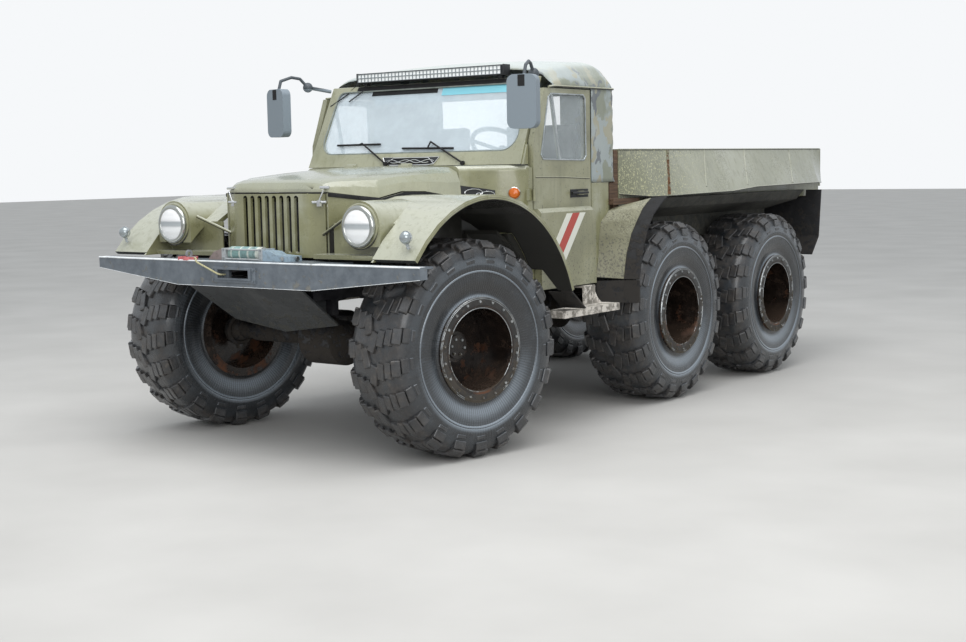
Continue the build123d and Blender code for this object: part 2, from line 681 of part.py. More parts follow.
def roof_section(y, roof, inset):
    """Half round shoulders over straight sides, closed flat at the door's header."""
    half = [(824, HEADER_Z), (818, 1935), (796, 1975), (752, roof - 52), (680, roof - 26), (480, roof - 10)]
    points = []
    for x, z in half:
        points.append((x - inset, y, z - (inset if z > HEADER_Z else 0)))
    whole = points + [(0, y, roof - inset)] + [(-x, py, z) for x, py, z in reversed(points)]
    return outline(whole)


def soft_top_shape():
    outer = loft([roof_section(y, z, 0) for y, z in ROOF], ruled=True)
    rear_edge = [roof_section(ROOF[-1][0], ROOF[-1][1], 0), roof_section(1580, 2006, 0)]
    outer += loft(rear_edge, ruled=True)
    skirt = [(1345, CANVAS_HEM_Z), (1592, CANVAS_HEM_Z), (1580, HEADER_Z + 2), (1345, HEADER_Z + 2)]
    outer += side_plate(skirt, -824, 824)
    inner = loft([roof_section(y, z, 20) for y, z in [(972, 2024)] + ROOF[2:]], ruled=True)
    below = box(-804, 804, 972, 1560, HEADER_Z - 20, HEADER_Z + 1)
    rear_room = box(-804, 804, 1300, 1562, CANVAS_HEM_Z - 10, HEADER_Z + 1)
    window = front_plate([(-450, 1560), (450, 1560), (450, 1865), (-450, 1865)], 1500, 1650, 40)
    return outer - inner - below - rear_room - window


# Doors
DOOR_OUTLINE = [(DOOR_Y0, DOOR_Z0), (DOOR_Y1, DOOR_Z0), (DOOR_Y1, DOOR_TOP_Z), (870, DOOR_TOP_Z),
                (762, 1594), (DOOR_Y0, 1440)]
WINDOW = [(820, 1486), (1290, 1478), (1284, 1850), (912, 1850)]


def doors():
    middle_y = sum(y for y, z in WINDOW) / 4
    middle_z = sum(z for y, z in WINDOW) / 4
    pane = [(y + math.copysign(2, middle_y - y), z + math.copysign(2, middle_z - z)) for y, z in WINDOW]
    panel = side_plate(DOOR_OUTLINE, DOOR_IN_X, CAB_X)
    bulge = side_plate([(DOOR_Y0, DOOR_Z0), (DOOR_Y1, DOOR_Z0), (DOOR_Y1, BULGE_TOP_Z - 48),
                        (DOOR_Y1 - 14, BULGE_TOP_Z - 14), (DOOR_Y1 - 48, BULGE_TOP_Z), (DOOR_Y0, BULGE_TOP_Z)],
                       CAB_X - 4, DOOR_BULGE_X)
    rim = bulge.faces().sort_by(Axis.X)[-1].edges()
    top_edges = [e for e in rim if e.center().Z > DOOR_Z0 + 1 and e.center().Y > DOOR_Y0 + 1]
    bulge = chamfer(top_edges, 22)
    panel = panel + bulge
    panel -= side_plate(WINDOW, DOOR_IN_X - 10, CAB_X + 10, 34)
    bar = rod((DOOR_IN_X + 12, 958, 1853), (DOOR_IN_X + 12, 1035, 1478), 7)
    panel += bar
    for z in HINGE_ZS:
        panel += Pos(HINGE_X, HINGE_Y, z) * Cylinder(9, 70)
        panel += box(HINGE_X - 12, HINGE_X - 4, HINGE_Y, DOOR_Y0 + 20, z - 30, z + 30)
        panel += box(CAB_X - 2, HINGE_X - 8, DOOR_Y0 + 4, DOOR_Y0 + 20, z - 30, z + 30)
    panel += box(CAB_X - 1, CAB_X + 30, 1196, 1216, 1284, 1306)
    panel += box(CAB_X + 18, CAB_X + 34, 1160, 1275, 1286, 1304)
    keep("door_left", panel)
    keep("door_right", mirrored(panel))
    glass = side_plate(pane, DOOR_IN_X + 21, DOOR_IN_X + 27, 33)
    keep("door_glass_left", glass)
    keep("door_glass_right", mirrored(glass))


SEAT_X = (130.0, 650.0)
SEAT_BASE_Z = 1085.0


def seats():
    cushion = box(*SEAT_X, 1030, 1480, SEAT_BASE_Z, 1230)
    back = box(*SEAT_X, 1395, 1520, 1231, 1720)
    keep("seats", both(cushion + back))
    stand = box(SEAT_X[0] + 60, SEAT_X[1] - 60, 1070, 1440, CAB_FLOOR_Z + 0.5, SEAT_BASE_Z - 0.5)
    keep("seat_boxes", both(stand))


def steering_wheel_shape():
    wheel = Torus(195, 13) + Cylinder(34, 30)
    for a in (90, 210, 330):
        wheel += Rot(0, 0, a) * box(0, 190, -11, 11, -6, 6)
    wheel += Pos(0, 0, -203) * Cylinder(18, 400)
    return Pos(410, 1050, 1540) * Rot(-40, 0, 0) * wheel


def gear_levers_shape():
    """Gear and transfer levers with round knobs, standing on the tunnel."""
    solids = []
    for foot, knob, r in (((0, 880, 973), (25, 930, 1205), 22), ((-52, 900, 973), (-62, 940, 1120), 17)):
        solids.append(rod(foot, knob, 7) + Pos(*knob) * Sphere(r))
    return group(*solids)


def sun_visor_shape():
    """A board behind the windscreen's upper edge, on two rods from its frame."""
    visor = box(-430, 200, 904, 914, 1833, 1888)
    for x in (-380, 150):
        visor += rod((x, 910, 1885), (x, 932, 1926), 4)
    return visor


# Bed side sheet, leaning out at its lower edge over the tyres: y, lower x, lower z
BED_SIDE = [(BED_Y0, 822, 1276), (1880, 908, 1256), (2100, 930, 1256), (2900, 935, 1264), (3250, 932, 1284),
            (4280, 925, 1293), (BED_Y1, 840, 1290)]
# Cross bearers under the floor: y, half length
BEARERS = ((1700, 780), (2400, 554), (3100, 554), (3800, 554), (4400, 780))
TAILGATE_Y = BED_Y1 + 21
TAILGATE_HINGE_Z = 1262.0
TAILGATE_HINGES = (-560.0, 0.0, 560.0)
HINGE_R = 11.0
# Inner sheets over the rear wheels, from and to
WELL_Y0 = 1852.0
WELL_Y1 = 4110.0
SHEET_T = 18.0


def bed_shape():
    floor = box(-BED_X + SHEET_T, BED_X - SHEET_T, BED_Y0, BED_Y1, BED_FLOOR_Z - WALL, BED_FLOOR_Z)
    front = box(-BED_X, BED_X, BED_Y0, BED_Y0 + WALL, BED_FLOOR_Z - WALL, BED_TOP_Z)
    side = None
    for (ya, xa, za), (yb, xb, zb) in zip(BED_SIDE, BED_SIDE[1:]):
        ends = []
        for y, x, z in ((ya, xa, za), (yb, xb, zb)):
            ends.append(outline([(BED_X - SHEET_T, y, BED_TOP_Z), (BED_X, y, BED_TOP_Z), (x, y, z),
                                 (x - SHEET_T, y, z)]))
        piece = loft(ends, ruled=True)
        side = piece if side is None else side + piece
    # An inner board closes the gap between the floor's edge and the leaning sheet
    board = box(BED_X - SHEET_T - 4, BED_X - 4, BED_Y0, BED_Y1, BED_FLOOR_Z - WALL, BED_TOP_Z - 4)
    shape = floor + front + side + mirrored(side) + board + mirrored(board)
    # Hinge eyes that the tailgate turns on
    for x in TAILGATE_HINGES:
        shape += box(x + 46, x + 66, BED_Y1 - 10, TAILGATE_Y, BED_FLOOR_Z - 10, TAILGATE_HINGE_Z - 4)
        shape += rod((x + 46, TAILGATE_Y, TAILGATE_HINGE_Z), (x + 66, TAILGATE_Y, TAILGATE_HINGE_Z), HINGE_R)
    return shape


def bed_frame_shape():
    bearer = box(RAIL_X0, RAIL_X1, BED_Y0 + 20, RAIL_Y1, RAIL_Z1 + 0.3, 1130)
    shape = bearer + mirrored(bearer)
    top = BED_FLOOR_Z - WALL - 0.5
    for y, half in BEARERS:
        shape += box(-half, half, y - 30, y + 30, 1125, top)
    post = box(776, 818, 1594, BED_Y0 - 1, 1160, BED_TOP_Z - 6)
    post += box(798, 818, 1545, 1596, 1215, CANVAS_HEM_Z - 6)
    # A timber under the side sheet's front end
    post += box(802, 845, 1545, BED_Y0 - 1, 1215, 1250) + box(823, 845, BED_Y0 - 2, 1845, 1215, 1250)
    foot = box(740, 790, 1600, 1700, 1140, top)
    return shape + post + mirrored(post) + foot + mirrored(foot)


def tailgate_shape():
    y0 = BED_Y1 + 6
    gate = box(-BED_X + 4, BED_X - 4, y0, y0 + TAILGATE_T, TAILGATE_HINGE_Z, BED_TOP_Z - 2)
    for x in TAILGATE_HINGES:
        gate -= box(x + 40, x + 72, y0 - 5, y0 + TAILGATE_T + 5, TAILGATE_HINGE_Z - 20, TAILGATE_HINGE_Z + 17)
        gate += rod((x - 40, TAILGATE_Y, TAILGATE_HINGE_Z), (x + 40, TAILGATE_Y, TAILGATE_HINGE_Z), HINGE_R)
    return gate


# Rear arch at the cab's side, at the sheet's outer edge and at the rubber's edge: y and z of each
REAR_ARCH = [
    ((1622, 1203), (1820, 1250), (1872, 1259)),
    ((1575, 1196), (1768, 1222), (1822, 1234)),
    ((1525, 1182), (1720, 1192), (1775, 1207)),
    ((1440, 1118), (1650, 1120), (1705, 1160)),
    ((1420, 1040), (1585, 1045), (1645, 1090)),
    ((1408, 925), (1528, 930), (1585, 975)),
    ((1380, 800), (1494, 785), (1533, 785)),
]
ARCH_XS = (CAB_X + 0.5, 940.0, 1020.0)


def arch_edge(column, x, thick):
    """The rear arch's outline at x, made thick towards the middle axle."""
    points = [row[column] for row in REAR_ARCH]
    inner = []
    for y, z in reversed(points):
        far = math.hypot(MID_AXLE - y, HUB_Z - z)
        inner.append((y + (MID_AXLE - y) / far * thick, z + (HUB_Z - z) / far * thick))
    return outline([(x, y, z) for y, z in points + inner])


def rear_fender_shape():
    # A sheet from the cab's side out to the arch's edge in front of the middle wheel
    return both(loft([arch_edge(0, ARCH_XS[0], 16), arch_edge(1, ARCH_XS[1], 16)], ruled=True))


def wheel_wells_shape():
    # Inner sheets over the rear wheels: under the side sheet's lip, under the floor, then down
    upper = [(880, 1247), (826, 1186), (566, 1112), (566, 960)]
    lower = [(574, 960), (574, 1106), (830, 1178), (886, 1241)]
    return both(front_plate(upper + lower, WELL_Y0, WELL_Y1))


def mud_flaps_shape():
    bent = [(4276, 1240), (4288, 1240), (4246, 900), (4128, 772), (4118, 780), (4234, 905)]
    rear = side_plate(bent, 480, 945)
    rear -= box(0, 826, 4200, 4400, BED_FLOOR_Z - WALL - 6, 1300)
    edge = loft([arch_edge(1, ARCH_XS[1] + 0.5, 10), arch_edge(2, ARCH_XS[2], 10)], ruled=True)
    near = [(x, y + 4) for x, (y, z) in zip(ARCH_XS, REAR_ARCH[-1])]
    far = [(x, y + 12) for x, y in reversed(near)]
    hem = plan_plate(near + far, 645, 777)
    front = side_plate([(756, 769), (772, 769), (898, 674), (888, 670)], 906, 1062)
    tab = side_plate([(754, 766), (768, 766), (774, 784), (752, 777)], 994, 1062)
    return group(both(rear), both(edge), both(hem), both(front + tab))


def steps_shape():
    tread = box(882, 1005, 768, 1343, 622, 662)
    strap = box(880, 892, 1140, 1260, 640, 768)
    arm = box(700, 892, 1150, 1250, 756, 768) + box(700, 770, 1150, 1250, 766, 789.7)
    curve = [(1256, 655), (1340, 655), (1290, 690), (1262, 730), (1250, 764), (1240, 764)]
    gusset = side_plate(curve, 880, 890)
    return both(tread + strap + arm + gusset)


# Lamps
def headlamps_shape():
    profile = [(0, POD_FACE_Y - 0.3), (104, POD_FACE_Y - 0.3), (104, -512), (98, -524), (88, -528), (86, -522),
               (60, -532), (30, -537), (0, -538)]
    return both(lathe_y(profile, LAMP_X, LAMP_Z))


def position_lamps_shape():
    ball = Pos(1001, -562, 1130) * Sphere(31)
    stalk = rod((1001, -562, 1115), (1003, -545, 1078), 9)
    stalk -= ring_x(900, 1080, 0, ARCH_R + FENDER_T + 0.5, ARCH_Y, ARCH_Z)
    return both(ball + stalk)


def turn_lamps_shape():
    # On the flared wall in front of the door post, facing forwards
    profile = [(0, 0), (30, 0), (30, -10), (22, -24), (0, -28)]
    lamp = lathe_y(profile, 0, 0)
    return both(Pos(748, 674.5, 1306) * Rot(0, 0, 30) * lamp)


def tail_lamps_shape():
    # A housing on each side of the rear bearer, with two round lenses
    housing = box(570, 720, 4430.5, 4500, 1118, 1190)
    for x in (608, 682):
        housing += lathe_y([(0, 4499), (30, 4499), (30, 4508), (22, 4516), (0, 4518)], x, 1154)
    return both(housing)


def light_bar_shape():
    body = box(-545, 545, 872, 936, 1962, 2020)
    for x in (-500, 500):
        body += box(x - 14, x + 14, 898, 930, SCREEN_TOP_Z + 0.5, 1965)
    return body


MIRROR_TOE = 12.0


def mirrors_shape():
    head = box(-84, 84, -29, 29, 1650, 1935)
    head = Pos(897, 561, 0) * Rot(0, 0, MIRROR_TOE) * fillet(head.edges().filter_by(Axis.Y), 40)
    arm = rod((834, 751, 1949), (850, 700, 2000), 9) + rod((850, 700, 2000), (872, 650, 2008), 9)
    arm += rod((872, 650, 2008), (898, 585, 1985), 9) + rod((898, 585, 1985), (900, 561, 1915), 9)
    for x, y, z in ((850, 700, 2000), (872, 650, 2008), (898, 585, 1985)):
        arm += Pos(x, y, z) * Sphere(9)
    ball = Pos(834, 751, 1949) * Sphere(30)
    bracket = rod((834, 751, 1949), (768, 884, 1925), 11)
    return both(head + arm + ball + bracket)


# Wipers: pivot, elbow on the blade, the blade's two ends, each as x and z on the windscreen's plane
WIPERS = [((-170, 1479), (-400, 1602), (-600, 1594), (-262, 1594)),
          ((395, 1476), (120, 1600), (-85, 1566), (290, 1560))]


def wipers_shape():
    solids = []
    for pivot, elbow, blade_a, blade_b in WIPERS:
        base = rod(screen_point(*pivot, 38), screen_point(*pivot, 54), 12)
        arm = rod(screen_point(*pivot, 46), screen_point(*elbow, 38), 5)
        blade_mid = ((blade_a[0] + blade_b[0]) / 2, (blade_a[1] + blade_b[1]) / 2)
        drop = rod(screen_point(*elbow, 38), screen_point(*blade_mid, 30), 4.5)
        blade = rod(screen_point(*blade_a, 29), screen_point(*blade_b, 29), 6)
        solids.append(base + arm + drop + blade)
    return group(*solids)


def build():
    wheels()
    knuckles()
    axles()
    springs()
    driveshafts()
    keep("frame", frame_shape())
    keep("engine", engine_shape())
    keep("bumper", bumper_shape())
    keep("winch", winch_shape())
    keep("winch_rope", rope_shape())
    keep("winch_hook", hook_shape())
    keep("skid_plate", skid_shape())
    keep("grille", grille_shape())
    keep("front_fenders", fender_shape())
    keep("bonnet", bonnet_shape())
    keep("cowl", cowl_shape())
    keep("cab_floor", cab_floor_shape())
    keep("cab_rear", cab_rear_shape())
    windscreen()
    keep("soft_top", soft_top_shape())
    doors()
    seats()
    keep("steering_wheel", steering_wheel_shape())
    keep("gear_levers", gear_levers_shape())
    keep("sun_visor", sun_visor_shape())
    keep("cargo_bed", bed_shape())
    keep("bed_frame", bed_frame_shape())
    keep("tailgate", tailgate_shape())
    keep("rear_fenders", rear_fender_shape())
    keep("wheel_wells", wheel_wells_shape())
    keep("mud_flaps", mud_flaps_shape())
    keep("steps", steps_shape())
    keep("headlamps", headlamps_shape())
    keep("position_lamps", position_lamps_shape())
    keep("turn_lamps", turn_lamps_shape())
    keep("tail_lamps", tail_lamps_shape())
    keep("light_bar", light_bar_shape())
    keep("mirrors", mirrors_shape())
    keep("wipers", wipers_shape())


build()
os.makedirs("parts", exist_ok=True)
for node, shape in parts.items():
    moved = [Pos(0, FRONT_AXLE_Y, 0) * s for s in shape.solids()]
    export_step(moved[0] if len(moved) == 1 else Compound(moved), os.path.join("parts", node + ".step"))
print(len(parts), "nodes")
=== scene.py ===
# %% [markdown]
# # Dressing a six-wheeled off-road pickup
# The solids of the truck are packed already: every panel, wheel and hinge has its place and size.
# This lesson adds what the eye expects on them: faded olive paint, mud, rubber lugs, canvas, glass.
# No solid is moved. A new piece either rides on a body of the truck or stands for one of its solids.

# %% Load the solids
import json
import math
import bmesh
import bpy
from mathutils import Matrix, Vector, noise


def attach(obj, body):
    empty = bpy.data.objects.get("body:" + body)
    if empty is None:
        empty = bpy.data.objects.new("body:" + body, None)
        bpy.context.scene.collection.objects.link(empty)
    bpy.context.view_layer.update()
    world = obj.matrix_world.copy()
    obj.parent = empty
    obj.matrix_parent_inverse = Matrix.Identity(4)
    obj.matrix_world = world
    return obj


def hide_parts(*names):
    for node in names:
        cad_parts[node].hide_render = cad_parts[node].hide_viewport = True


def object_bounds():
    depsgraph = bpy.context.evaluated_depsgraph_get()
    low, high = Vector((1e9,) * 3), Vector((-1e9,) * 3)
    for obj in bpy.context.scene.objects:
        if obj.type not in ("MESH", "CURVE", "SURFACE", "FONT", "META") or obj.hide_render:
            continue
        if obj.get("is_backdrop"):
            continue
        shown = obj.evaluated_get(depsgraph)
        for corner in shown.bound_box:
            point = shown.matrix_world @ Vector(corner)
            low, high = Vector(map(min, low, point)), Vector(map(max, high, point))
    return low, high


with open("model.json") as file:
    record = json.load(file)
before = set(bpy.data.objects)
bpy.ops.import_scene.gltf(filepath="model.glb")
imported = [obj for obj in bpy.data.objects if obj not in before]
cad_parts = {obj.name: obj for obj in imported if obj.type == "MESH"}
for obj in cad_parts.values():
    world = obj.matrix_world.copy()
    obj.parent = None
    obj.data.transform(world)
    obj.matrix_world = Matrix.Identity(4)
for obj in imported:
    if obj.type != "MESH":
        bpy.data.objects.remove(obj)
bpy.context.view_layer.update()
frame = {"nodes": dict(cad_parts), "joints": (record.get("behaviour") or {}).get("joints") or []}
NODES = frame["nodes"]
MM = 0.001

# %% [markdown]
# ## The camera
# The photograph was taken from the driver's side, about 37 degrees off the nose, near eye height.
# The lens is worked out from the picture's width, and the tripod's place is measured from the front
# axle, so the truck stands in the frame as it does in the photograph.

# %% Set up the camera
FRONT_AXLE_Y = -1941.5 * MM
PHOTO_WIDTH = 966
LENS_IN_PIXELS = 1460.8
CAMERA_AT = Vector((5.372, -5.829 + FRONT_AXLE_Y, 1.459))
YAW, PITCH, ROLL = 0.641, 0.106, -0.018


def aim_axes(yaw, pitch, roll):
    """The camera's right, up and backward directions."""
    back = Vector((math.sin(yaw) * math.cos(pitch), -math.cos(yaw) * math.cos(pitch), math.sin(pitch)))
    right = (-back).cross(Vector((0, 0, 1))).normalized()
    up = right.cross(-back)
    turn = Matrix.Rotation(roll, 3, back)
    return turn @ right, turn @ up, back


lens_data = bpy.data.cameras.new("photo_camera")
lens_data.sensor_width = 36.0
lens_data.lens = LENS_IN_PIXELS / PHOTO_WIDTH * lens_data.sensor_width
camera = bpy.data.objects.new("photo_camera", lens_data)
bpy.context.scene.collection.objects.link(camera)
camera_turn = Matrix(aim_axes(YAW, PITCH, ROLL)).transposed().to_4x4()
camera.matrix_world = Matrix.Translation(CAMERA_AT) @ camera_turn
bpy.context.scene.camera = camera
print("lens:", round(lens_data.lens, 2), "mm")

# %% [markdown]
# ## Small tools
# Colours are written as the eye reads them, in hex, and turned to the linear values that the shader
# wants. One function adds any shader node with its settings and links, and gives back the output to
# go on with. A noise's lumps are about one over its scale, so each scale is written as 1000 over the
# size of the real speck, lump or cloud in millimetres.

# %% Colours and sockets
def paint_hex(code):
    """A hex colour as linear red, green, blue and alpha."""
    values = [int(code[i:i + 2], 16) / 255 for i in (1, 3, 5)]
    return [v / 12.92 if v <= 0.04045 else ((v + 0.055) / 1.055) ** 2.4 for v in values] + [1.0]


def feed(tree, socket, value):
    """Links a socket to an output, or sets it to a number, a vector or a hex colour."""
    if isinstance(value, bpy.types.NodeSocket):
        tree.links.new(value, socket)
    else:
        socket.default_value = paint_hex(value) if isinstance(value, str) else value


print("middle grey in linear light:", round(paint_hex("#808080")[0], 3))

# %% Nodes and materials
def add_node(tree, kind, *feeds, steps=(), output=None, **settings):
    """Adds a shader node and gives back its named output, or its first live one.

    Feeds fill the live inputs in their order. Settings go by name to properties or inputs, and steps
    of (position, hex colour) to a ramp.
    """
    node = tree.nodes.new("ShaderNode" + kind)
    for name in [n for n in settings if hasattr(node, n)]:
        setattr(node, name, settings.pop(name))
    live = [socket for socket in node.inputs if socket.enabled]
    named = [(node.inputs[name.replace("_", " ")], value) for name, value in settings.items()]
    for socket, value in list(zip(live, feeds)) + named:
        feed(tree, socket, value)
    for _ in steps[2:]:
        node.color_ramp.elements.new(0.5)
    for i, (position, code) in enumerate(steps):
        node.color_ramp.elements[i].position = position
        node.color_ramp.elements[i].color = paint_hex(code)
    return node.outputs[output] if output else next(socket for socket in node.outputs if socket.enabled)


def set_sockets(material, **sockets):
    """Gives the sockets of a material's Principled shader their values or patterns."""
    tree = material.node_tree
    for name, value in sockets.items():
        feed(tree, tree.nodes["Principled BSDF"].inputs[name.replace("_", " ")], value)
    return material


def new_material(name, **sockets):
    """A material with a Principled shader whose sockets get plain values or hex colours."""
    material = bpy.data.materials.new(name)
    material.use_nodes = True
    return set_sockets(material, **sockets)


print("shader tools ready")

# %% Pieces from a bmesh
def place(x, y, z):
    """A point measured in millimetres from the front axle's middle on the ground, in metres."""
    return Vector((x * MM, y * MM + FRONT_AXLE_Y, z * MM))


def finish_piece(bm, name, material, body, smooth=40):
    """Turns a bmesh into a piece of the truck: shaded, named and riding on its body."""
    mesh = bpy.data.meshes.new(name)
    bm.to_mesh(mesh)
    bm.free()
    piece = bpy.data.objects.new(name, mesh)
    bpy.context.scene.collection.objects.link(piece)
    for one in material if isinstance(material, list) else [material]:
        mesh.materials.append(one)
    if smooth:
        mesh.shade_smooth()
        mesh.set_sharp_from_angle(angle=math.radians(smooth))
    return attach(piece, body)


def both_sides(bm):
    """Adds the mirror image about the truck's middle."""
    bmesh.ops.mirror(bm, geom=bm.verts[:] + bm.edges[:] + bm.faces[:], matrix=Matrix.Identity(4), merge_dist=0.0,
                     axis="X")
    bmesh.ops.recalc_face_normals(bm, faces=bm.faces)


print("the front axle's middle:", [round(v, 4) for v in place(0, 0, 0)])

# %% Boxes, bars and plates
def add_box(bm, low, high):
    """A box between two corners, measured as place() measures."""
    low, high = place(*low), place(*high)
    matrix = Matrix.Translation((low + high) / 2) @ Matrix.Diagonal((*(high - low), 1.0))
    return bmesh.ops.create_cube(bm, size=1.0, matrix=matrix)["verts"]


def add_bar(bm, start, end, radius, segments=12):
    """A round bar between two points."""
    start, end = place(*start), place(*end)
    turn = (end - start).to_track_quat("Z", "Y").to_matrix().to_4x4()
    bmesh.ops.create_cone(bm, cap_ends=True, segments=segments, radius1=radius * MM, radius2=radius * MM,
                          depth=(end - start).length, matrix=Matrix.Translation((start + end) / 2) @ turn)


def add_run(bm, points, radius, segments=8):
    """A bent bar: one bar for each run and a ball in every bend."""
    for start, end in zip(points, points[1:]):
        add_bar(bm, start, end, radius, segments)
    for at in points[1:-1]:
        bmesh.ops.create_uvsphere(bm, u_segments=segments, v_segments=6, radius=radius * MM,
                                  matrix=Matrix.Translation(place(*at)))


def only(kind, made):
    """The vertices or the edges among what an operator made."""
    return [part for part in made if isinstance(part, kind)]


def add_plate(bm, corners, thick):
    """A flat polygon made thick along a vector in mm."""
    before = set(bm.faces)
    face = bm.faces.new([bm.verts.new(place(*corner)) for corner in corners])
    made = bmesh.ops.extrude_face_region(bm, geom=[face])["geom"]
    bmesh.ops.translate(bm, verts=only(bmesh.types.BMVert, made), vec=Vector(thick) * MM)
    bmesh.ops.recalc_face_normals(bm, faces=[f for f in bm.faces if f not in before])


def round_edges(bm, edges, radius_mm, segments=2):
    """Bevels edges with a round profile."""
    bmesh.ops.bevel(bm, geom=edges, offset=radius_mm * MM, segments=segments, profile=0.5, affect="EDGES",
                    material=-1)


print("shape tools ready")

# %% A dressed copy of a solid
SHARP_DEGREES = 32


def dressed_copy(node, body, material, round_mm):
    """A merged copy of a solid with softly rounded edges, which stands for it."""
    bm = bmesh.new()
    bm.from_mesh(NODES[node].data)
    bmesh.ops.remove_doubles(bm, verts=bm.verts, dist=0.05 * MM)
    bmesh.ops.dissolve_limit(bm, angle_limit=math.radians(1.0), verts=bm.verts, edges=bm.edges)
    piece = finish_piece(bm, node + "_dressed", material, body, smooth=SHARP_DEGREES)
    bevel = piece.modifiers.new("rounded_edges", "BEVEL")
    bevel.width = round_mm * MM
    bevel.segments = 2
    bevel.limit_method = "ANGLE"
    bevel.angle_limit = math.radians(SHARP_DEGREES)
    bevel.harden_normals = True
    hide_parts(node)


print("edges sharper than", SHARP_DEGREES, "degrees get rounded")

# %% [markdown]
# ## The winch rope
# A short synthetic rope comes out of the fairlead's slot and is pulled tight to its hook, which lies
# on the bumper's top edge. A NURBS curve with a few given points follows such a taut line well: the
# extra points near the corners keep the long run straight.

# %% Make the rope
ROPE_DIAMETER = 9 * MM
ROPE_POINTS = [place(-140, -638, 929), place(-140, -676, 929), place(-175, -676, 941.8), place(-267, -676, 975.4),
               place(-318, -676, 994), place(-334, -652, 1009), place(-352, -652, 1009)]


def rope_curve(thickness):
    """The rope's route as a smooth line, or as a tube where it has a thickness."""
    curve = bpy.data.curves.new("rope_line", "CURVE")
    curve.dimensions = "3D"
    curve.bevel_depth = thickness / 2
    curve.bevel_resolution = 5
    curve.use_fill_caps = True
    curve.resolution_u = 12
    spline = curve.splines.new("NURBS")
    spline.points.add(len(ROPE_POINTS) - 1)
    for point, at in zip(spline.points, ROPE_POINTS):
        point.co = (*at, 1.0)
    spline.order_u = 3
    spline.use_endpoint_u = True
    return curve


def curve_mesh(curve):
    """What a curve looks like as a mesh."""
    holder = bpy.data.objects.new("curve_holder", curve)
    bpy.context.scene.collection.objects.link(holder)
    mesh = bpy.data.meshes.new_from_object(holder.evaluated_get(bpy.context.evaluated_depsgraph_get()))
    bpy.data.objects.remove(holder)
    return mesh


rope_line = [tuple(v.co) for v in curve_mesh(rope_curve(0)).vertices]
rope = bpy.data.objects.new("rope", curve_mesh(rope_curve(ROPE_DIAMETER)))
bpy.context.scene.collection.objects.link(rope)
rope.data.shade_smooth()
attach(rope, "chassis")
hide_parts("winch_rope")
print("rope points:", len(ROPE_POINTS), "on the smooth line:", len(rope_line))

# %% [markdown]
# ## Faded olive enamel
# The sheet metal is sprayed with a dull olive enamel that has chalked in the sun. It is still a
# little glossy, and its upward faces get a paler colour: sun chalking with a painted sky sheen over
# it. Three things break it up: broad cloudy fading, fine speckle of dust and lichen, and long thin
# streaks where water ran down. They are mixed in colour and in roughness, so that they show in the
# highlights too. Faces that look down, and the inside of the front wheel arches, get painted shade:
# a near-black colour that stands for the shadow there.

# %% Streaks, tops and arches
ARCH_Y, ARCH_Z, ARCH_R = 30, 530, 773
NOSE_Y = -395


def streaks(tree, vector, width_mm, length_mm):
    """Thin upright streaks: noise that is squeezed along the height."""
    squeezed = add_node(tree, "Mapping", vector, Scale=(1.0, 1.0, width_mm / length_mm))
    return add_node(tree, "TexNoise", squeezed, 1000 / width_mm, 4.0, 0.6)


def upward(tree, start=0.12, end=0.75):
    """1 on faces that look up, 0 on upright ones."""
    height = add_node(tree, "SeparateXYZ", add_node(tree, "NewGeometry", output="Normal"), output="Z")
    return add_node(tree, "MapRange", height, start, end)


def arch_shade(tree, at):
    """1 inside the front wheel arches, behind the nose, where painted shade goes: a round zone about the arch's
    centre.
    """
    flat = add_node(tree, "VectorMath", at, (0.0, 1.0, 1.0), operation="MULTIPLY")
    reach = add_node(tree, "VectorMath", flat, place(0, ARCH_Y, ARCH_Z), operation="DISTANCE")
    inside = add_node(tree, "MapRange", reach, (ARCH_R - 9) * MM, (ARCH_R - 11.5) * MM)
    along = add_node(tree, "SeparateXYZ", at, output="Y")
    behind = add_node(tree, "MapRange", along, place(0, NOSE_Y - 2, 0).y, place(0, NOSE_Y + 2, 0).y)
    return add_node(tree, "Math", inside, behind, operation="MULTIPLY")


print("front arch radius:", ARCH_R, "mm")

# %% Mud drops and lichen
def splashed(tree, at, colour, share):
    """Drops of dried mud, thicker low down."""
    low = add_node(tree, "MapRange", add_node(tree, "SeparateXYZ", at, output="Z"), 1.25, 0.85, 0.0, share)
    drops = add_node(tree, "TexNoise", at, 1000 / 14, 5.0, 0.75)
    drops = add_node(tree, "Math", drops, low, operation="ADD")
    drops = add_node(tree, "MapRange", drops, 0.60, 0.66, 0.0, 0.8)
    return add_node(tree, "Mix", drops, colour, "#37342a", data_type="RGBA")


def with_lichen(tree, at, colour, shade):
    """A darker front end, with pale flecks of lichen that are thickest there."""
    along = add_node(tree, "SeparateXYZ", at, output="Y")
    dark = add_node(tree, "MapRange", along, 0.55, 0.15, 0.0, 0.6)
    colour = add_node(tree, "Mix", dark, colour, shade, data_type="RGBA")
    front = add_node(tree, "MapRange", along, 1.1, 0.15, 0.0, 0.10)
    flecks = add_node(tree, "TexNoise", at, 1000 / 13, 4.0, 0.8)
    flecks = add_node(tree, "Math", flecks, front, operation="ADD")
    flecks = add_node(tree, "MapRange", flecks, 0.64, 0.69, 0.0, 0.75)
    return add_node(tree, "Mix", flecks, colour, "#b6b48c", data_type="RGBA")


print("dirt tools ready")

